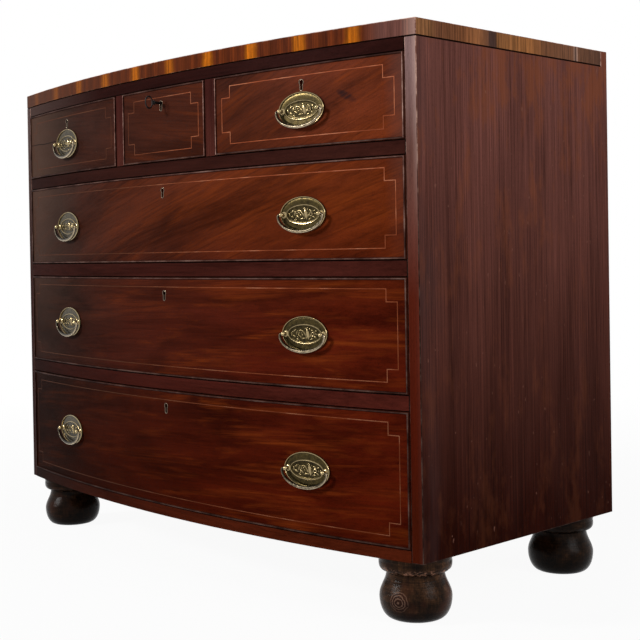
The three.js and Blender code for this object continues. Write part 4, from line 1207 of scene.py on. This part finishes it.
# The drawer boxes.
# Oak linings: two sides and a back joined in one frame, and a thin bottom slid into its grooves
# from behind. They are never polished.
OAK_DARK = (0.105, 0.052, 0.022)
OAK_MIDDLE = (0.225, 0.125, 0.058)
OAK_BRIGHT = (0.36, 0.22, 0.115)
oak_shades = wood_shades(OAK_DARK, OAK_MIDDLE, OAK_BRIGHT)
oak_sides = wood("oak_sides", "Y", oak_shades, streak=0.004, gloss=0.1, roughness=0.68)
oak_bottoms = wood("oak_bottoms", "X", oak_shades, streak=0.006, gloss=0.1, roughness=0.7, shift=3)
for name, *_ in FRONTS:
    paint_node(f"{name}_box", oak_sides)
    paint_node(f"{name}_bottom", oak_bottoms)


# The handles.
# Each backplate is stamped from brass sheet: a bright rolled rim, a plain field gone olive with
# age, and a raised oval rim round an upright leaf among berries and curls. Two turned posts pass
# through the front to nuts inside the drawer.
PLATE_HALF_WIDTH = 0.045
PLATE_HALF_HEIGHT = 0.028
PLATE_RELIEF = 0.0024
PLATE_STEPS = 96
POST_REACH = 0.0085
POST_BALL = 0.0038
NUT_RADIUS = 0.006
NUT_THICKNESS = 0.0035
NUT_RIM = 0.0005
SHANK_LAP = 0.004
POST_FOOT = [(0.005, 0.0004), (0.0053, 0.0016), (0.0046, 0.0024), (0.0031, 0.003), (0.0025, 0.0044)]
POST_BALL_FROM = -44
POST_BALL_TURN = 126
SHANK_END = 0.0281
RIM_INSETS = [
    (0.0, 0.35), (0.25, 0.75), (0.8, 1.0), (1.5, 0.96), (2.0, 0.66), (2.4, 0.26), (3.0, 0.16),
    (3.8, 0.24), (6.5, 0.24), (9.8, 0.2), (11.8, 0.18), (12.3, 0.34), (12.8, 0.62), (13.4, 0.76),
    (14.0, 0.7), (14.4, 0.5), (14.8, 0.3), (15.4, 0.16),
]
WIDE_INSET_SHARE = 0.86
INNER_SHARES = [(0.92, 0.13), (0.7, 0.15), (0.4, 0.2), (0.15, 0.22)]
LEAF_SHAPES = [
    (1.6, -1.2, 6.4, 1.9, 128), (11.2, -2.6, 5.6, 1.8, 50), (-2.5, -6.8, 6.2, 1.3, 8),
    (-3.6, 4.4, 5.2, 1.7, 155), (-9.5, 5.2, 5.0, 1.6, 18), (-9.8, -3.4, 5.6, 1.8, -30),
    (-15.8, 1.4, 5.2, 2.0, 68), (-20.5, -3.8, 4.6, 1.8, -20), (-21.0, 4.6, 4.2, 1.5, 30),
    (-26.4, -0.6, 4.0, 2.2, 104), (15.8, 5.4, 4.6, 1.4, -24), (13.5, -7.4, 5.0, 1.3, 14),
    (21.6, -4.6, 4.4, 1.5, -30), (22.2, 4.8, 3.8, 1.4, 20), (3.0, 9.0, 4.0, 1.1, 10),
    (-14.0, -8.2, 4.2, 1.1, -6),
]
TALL_LEAF = (6.3, 0.2, 9.6, 3.1, 102)
BERRIES = [
    (16.8, 0.2, 1.5), (22.8, 0.2, 1.7), (-4.4, -1.4, 2.0), (-6.6, 1.8, 1.6), (-13.6, -5.6, 1.6),
    (-17.8, 6.4, 1.5), (3.0, -6.4, 1.5), (-24.0, 3.0, 1.4), (9.6, 7.6, 1.4), (-11.2, 1.2, 1.8),
    (-1.0, 2.0, 1.3), (27.0, 0.0, 1.6),
]
LEAF_SEAT = 0.22
LEAF_HEIGHT = 0.0008
TALL_LEAF_HEIGHT = 0.0019
ROSETTE_PLACE = (0.0168, -SEAM - 0.55 * PLATE_RELIEF, 0.0002)
ROSETTE_RADIUS = 0.0029
ROSETTE_WIRE = 0.0007
MILLIMETRE = 0.001
handle_brass = brass_paint("handle_brass", (0.012, 0.0085, 0.0026), (0.28, 0.212, 0.108),
                           (0.064, 0.045, 0.0135))


def raised_shape(x, z, long, short, turn, height):
    bpy.ops.mesh.primitive_uv_sphere_add(segments=16, ring_count=8, radius=1)
    shape = bpy.context.object
    for vertex in shape.data.vertices:
        vertex.co.z *= max(0.05, 1 - 0.55 * abs(vertex.co.x) ** 2.5)
    shape.scale = (long * MILLIMETRE, height, short * MILLIMETRE)
    shape.rotation_euler = (0, -math.radians(turn), 0)
    shape.location = (x * MILLIMETRE, -SEAM - LEAF_SEAT * PLATE_RELIEF, z * MILLIMETRE)
    return set_in_mesh()


def facing_out(piece, x=0.0):
    piece.rotation_euler = (math.pi / 2, 0, 0)
    piece.location = (x, -SEAM, 0)
    return set_in_mesh()


def post_outline():
    outline = list(POST_FOOT)
    for i in range(9):
        turn = math.radians(POST_BALL_FROM + POST_BALL_TURN * i / 8)
        outline.append((POST_BALL * math.cos(turn), POST_REACH - SEAM + POST_BALL * math.sin(turn)))
    return outline


def model_plate():
    rings = [(PLATE_HALF_WIDTH, PLATE_HALF_HEIGHT, 0)]
    for inset, relief in RIM_INSETS:
        inwards = inset * MILLIMETRE
        rings.append((PLATE_HALF_WIDTH - WIDE_INSET_SHARE * inwards, PLATE_HALF_HEIGHT - inwards,
                      relief * PLATE_RELIEF))
    inner_width, inner_height, _ = rings[-1]
    for share, relief in INNER_SHARES:
        rings.append((inner_width * share, inner_height * share, relief * PLATE_RELIEF))
    parts = [facing_out(raised_rings("plate_dish", rings, Vector(), PLATE_STEPS))]
    shapes = [(*leaf, LEAF_HEIGHT) for leaf in LEAF_SHAPES]
    shapes.append((*TALL_LEAF, TALL_LEAF_HEIGHT))
    shapes.extend((x, z, radius, radius, 0, LEAF_HEIGHT) for x, z, radius in BERRIES)
    parts.extend(raised_shape(*shape) for shape in shapes)
    bpy.ops.mesh.primitive_torus_add(major_radius=ROSETTE_RADIUS, minor_radius=ROSETTE_WIRE,
                                     major_segments=24, minor_segments=8, rotation=(math.pi / 2, 0, 0),
                                     location=ROSETTE_PLACE)
    parts.append(bpy.context.object)
    for x in (-POST_PLACE, POST_PLACE):
        parts.append(facing_out(turned_piece("post", post_outline(), Vector(), 24), x))
        parts.append(add_rod(16, SHANK_RADIUS, SHANK_END + SHANK_LAP, (x, (SHANK_END - SHANK_LAP) / 2, 0)))
        nut_place = FRONT_THICKNESS + 2 * SEAM + NUT_THICKNESS / 2
        parts.append(soften_rim(add_rod(6, NUT_RADIUS, NUT_THICKNESS, (x, nut_place, 0)), NUT_RIM))
    plate = joined_piece(parts, "plate_pattern")
    smooth(40)
    mark_relief(plate, 0.06 * PLATE_RELIEF, 1.1 * PLATE_RELIEF)
    plate.data.materials.clear()
    plate.data.materials.append(handle_brass)
    return plate


def handle_seats():
    for name, _, handles, *_ in FRONTS:
        for x in handles:
            side = "" if len(handles) == 1 else ("_left" if x < 0 else "_right")
            turn = Matrix.Rotation(math.asin(x / BOW_RADIUS), 4, "Z")
            yield name, side, Matrix.Translation((x, bow_y(x), plate_levels[name])) @ turn


def seated_copy(pattern, name, seat, body, node):
    piece = new_piece(name, pattern.data.copy())
    piece.data.transform(seat)
    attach(piece, body)
    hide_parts(node)


plate_pattern = model_plate()
for name, side, seat in handle_seats():
    plate = f"{name}_handle_plate{side}"
    seated_copy(plate_pattern, f"{name}_backplate{side}", seat, f"{name}_drawer", plate)
bpy.data.objects.remove(plate_pattern)


# The bails.
# A cast brass loop, thicker at its middle, that swings on pins in the balls of the posts. Its
# outer, lower side is painted bright, a painted reflection of the pale floor.
BAIL_PIN = 0.0016
BAIL_WIRE = 0.002
BAIL_MIDDLE = 0.0029
BAIL_HALF_SPAN = 0.0444
BAIL_DROP = 0.0264
BAIL_CORNER = 0.0026
BAIL_PIN_END = 0.0363
bail_brass = brass_paint("bail_brass", (0.011, 0.0082, 0.0048), (0.42, 0.34, 0.23), (0.11, 0.085, 0.052))


def mark_reflecting_side(bail):
    marks = bail.data.attributes.new("relief", "FLOAT", "POINT")
    # Marks the wire brighter on its outer, lower side and darker on its inner, upper side, a painted
    # reflection of the pale floor below.
    droop = BAIL_DROP - BAIL_CORNER
    for vertex in bail.data.vertices:
        across = vertex.co.x / BAIL_HALF_SPAN
        down = min(0, vertex.co.z + BAIL_CORNER) / droop
        slope = 2 * math.hypot(across / BAIL_HALF_SPAN, down / droop)
        outwards = (across ** 2 + down ** 2 - 1) / slope / BAIL_MIDDLE
        marks.data[vertex.index].value = min(1, max(0, 0.4 + 0.55 * outwards))


def model_bail():
    bend = BAIL_HALF_SPAN - BAIL_CORNER
    half = [(BAIL_PIN_END, 0, BAIL_PIN), ((BAIL_PIN_END + bend) / 2, 0, BAIL_PIN)]
    for i in range(7):
        turn = math.pi / 2 * i / 6
        radius = BAIL_PIN + (BAIL_WIRE - BAIL_PIN) * i / 6
        half.append((bend + BAIL_CORNER * math.sin(turn), -BAIL_CORNER * (1 - math.cos(turn)), radius))
    for i in range(1, 18):
        turn = math.pi / 2 * i / 18
        radius = BAIL_WIRE + (BAIL_MIDDLE - BAIL_WIRE) * math.sin(turn) ** 2
        fall = BAIL_CORNER + (BAIL_DROP - BAIL_CORNER) * math.sin(turn)
        half.append((BAIL_HALF_SPAN * math.cos(turn), -fall, radius))
    line = half + [(0, -BAIL_DROP, BAIL_MIDDLE)] + [(-x, z, radius) for x, z, radius in reversed(half)]
    bail = wire_piece("bail_pattern", [(x, -POST_REACH, z) for x, z, _ in line],
                      [radius / BAIL_WIRE for *_, radius in line], BAIL_WIRE, False)
    smooth(50)
    mark_reflecting_side(bail)
    bail.data.materials.append(bail_brass)
    return bail


bail_pattern = model_bail()
for name, side, seat in handle_seats():
    bail = f"{name}_bail{side}"
    seated_copy(bail_pattern, f"{name}_swing_bail{side}", seat, bail, bail)
bpy.data.objects.remove(bail_pattern)


# The lock and the key of the centre drawer.
# A thin brass case is let into the back of the front, and an iron bolt shoots up into the rail.
# The key is forged iron, with a collar and an oval ring, and stays in its hole.
KEY_RADIUS = 0.0023
KEY_EASE = 0.0004
KEY_COLLAR = 0.004
KEY_TURNING = [
    (KEY_RADIUS, 0.0052), (0.003, 0.0048), (0.003, 0.0042), (0.0025, 0.0036), (KEY_COLLAR, 0.0026),
    (KEY_COLLAR, 0.0014), (0.0027, 0.0006), (0.0022, -0.0008), (0.0014, -0.0016),
]
KEY_BIT_HALF_THICKNESS = 0.00125
KEY_BIT_LENGTH = 0.004
KEY_BIT_REACH = 0.009
KEY_RING_WIRE = 0.0014
KEY_RING_HALF_HEIGHT = 0.0115
KEY_RING_HALF_LENGTH = 0.008
KEY_OUT = 0.017
key_iron = iron_paint("key_iron", (0.007, 0.006, 0.0055), 0.42)
lock_brass = brass_paint("lock_brass", (0.14, 0.105, 0.045), (0.5, 0.4, 0.2), (0.24, 0.18, 0.08))
paint_node("lock_case", lock_brass)
paint_node("lock_bolt", key_iron)
key_end = corners(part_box("key"))[1].y
key_level = corners(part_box("short_centre_front"))[1].z - KEYHOLE_DROP
shaft_end = bow_y(0) - KEY_OUT
turning = [(radius, key_end - shaft_end - back) for radius, back in KEY_TURNING]
shaft = turned_piece("shaft", [(KEY_RADIUS - KEY_EASE, 0), (KEY_RADIUS, KEY_EASE), *turning], Vector(), 24)
shaft.rotation_euler = (math.pi / 2, 0, 0)
shaft.location = (0, key_end, key_level)
set_in_mesh()
bpy.ops.mesh.primitive_torus_add(major_radius=KEY_RING_HALF_HEIGHT - KEY_RING_WIRE,
                                 minor_radius=KEY_RING_WIRE, major_segments=48, minor_segments=12,
                                 rotation=(0, math.pi / 2, 0))
ring = set_in_mesh()
ring.scale.y = KEY_RING_HALF_LENGTH / KEY_RING_HALF_HEIGHT
ring.location = (0, shaft_end - KEY_RING_HALF_LENGTH, key_level)
set_in_mesh()
bit = add_block((-KEY_BIT_HALF_THICKNESS, KEY_BIT_HALF_THICKNESS), (key_end - KEY_BIT_LENGTH, key_end),
                (key_level - KEY_BIT_REACH, key_level))
key = joined_piece([shaft, ring, bit], "forged_key")
smooth(40)
key.data.materials.clear()
key.data.materials.append(key_iron)
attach(key, "key")
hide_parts("key")

low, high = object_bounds()
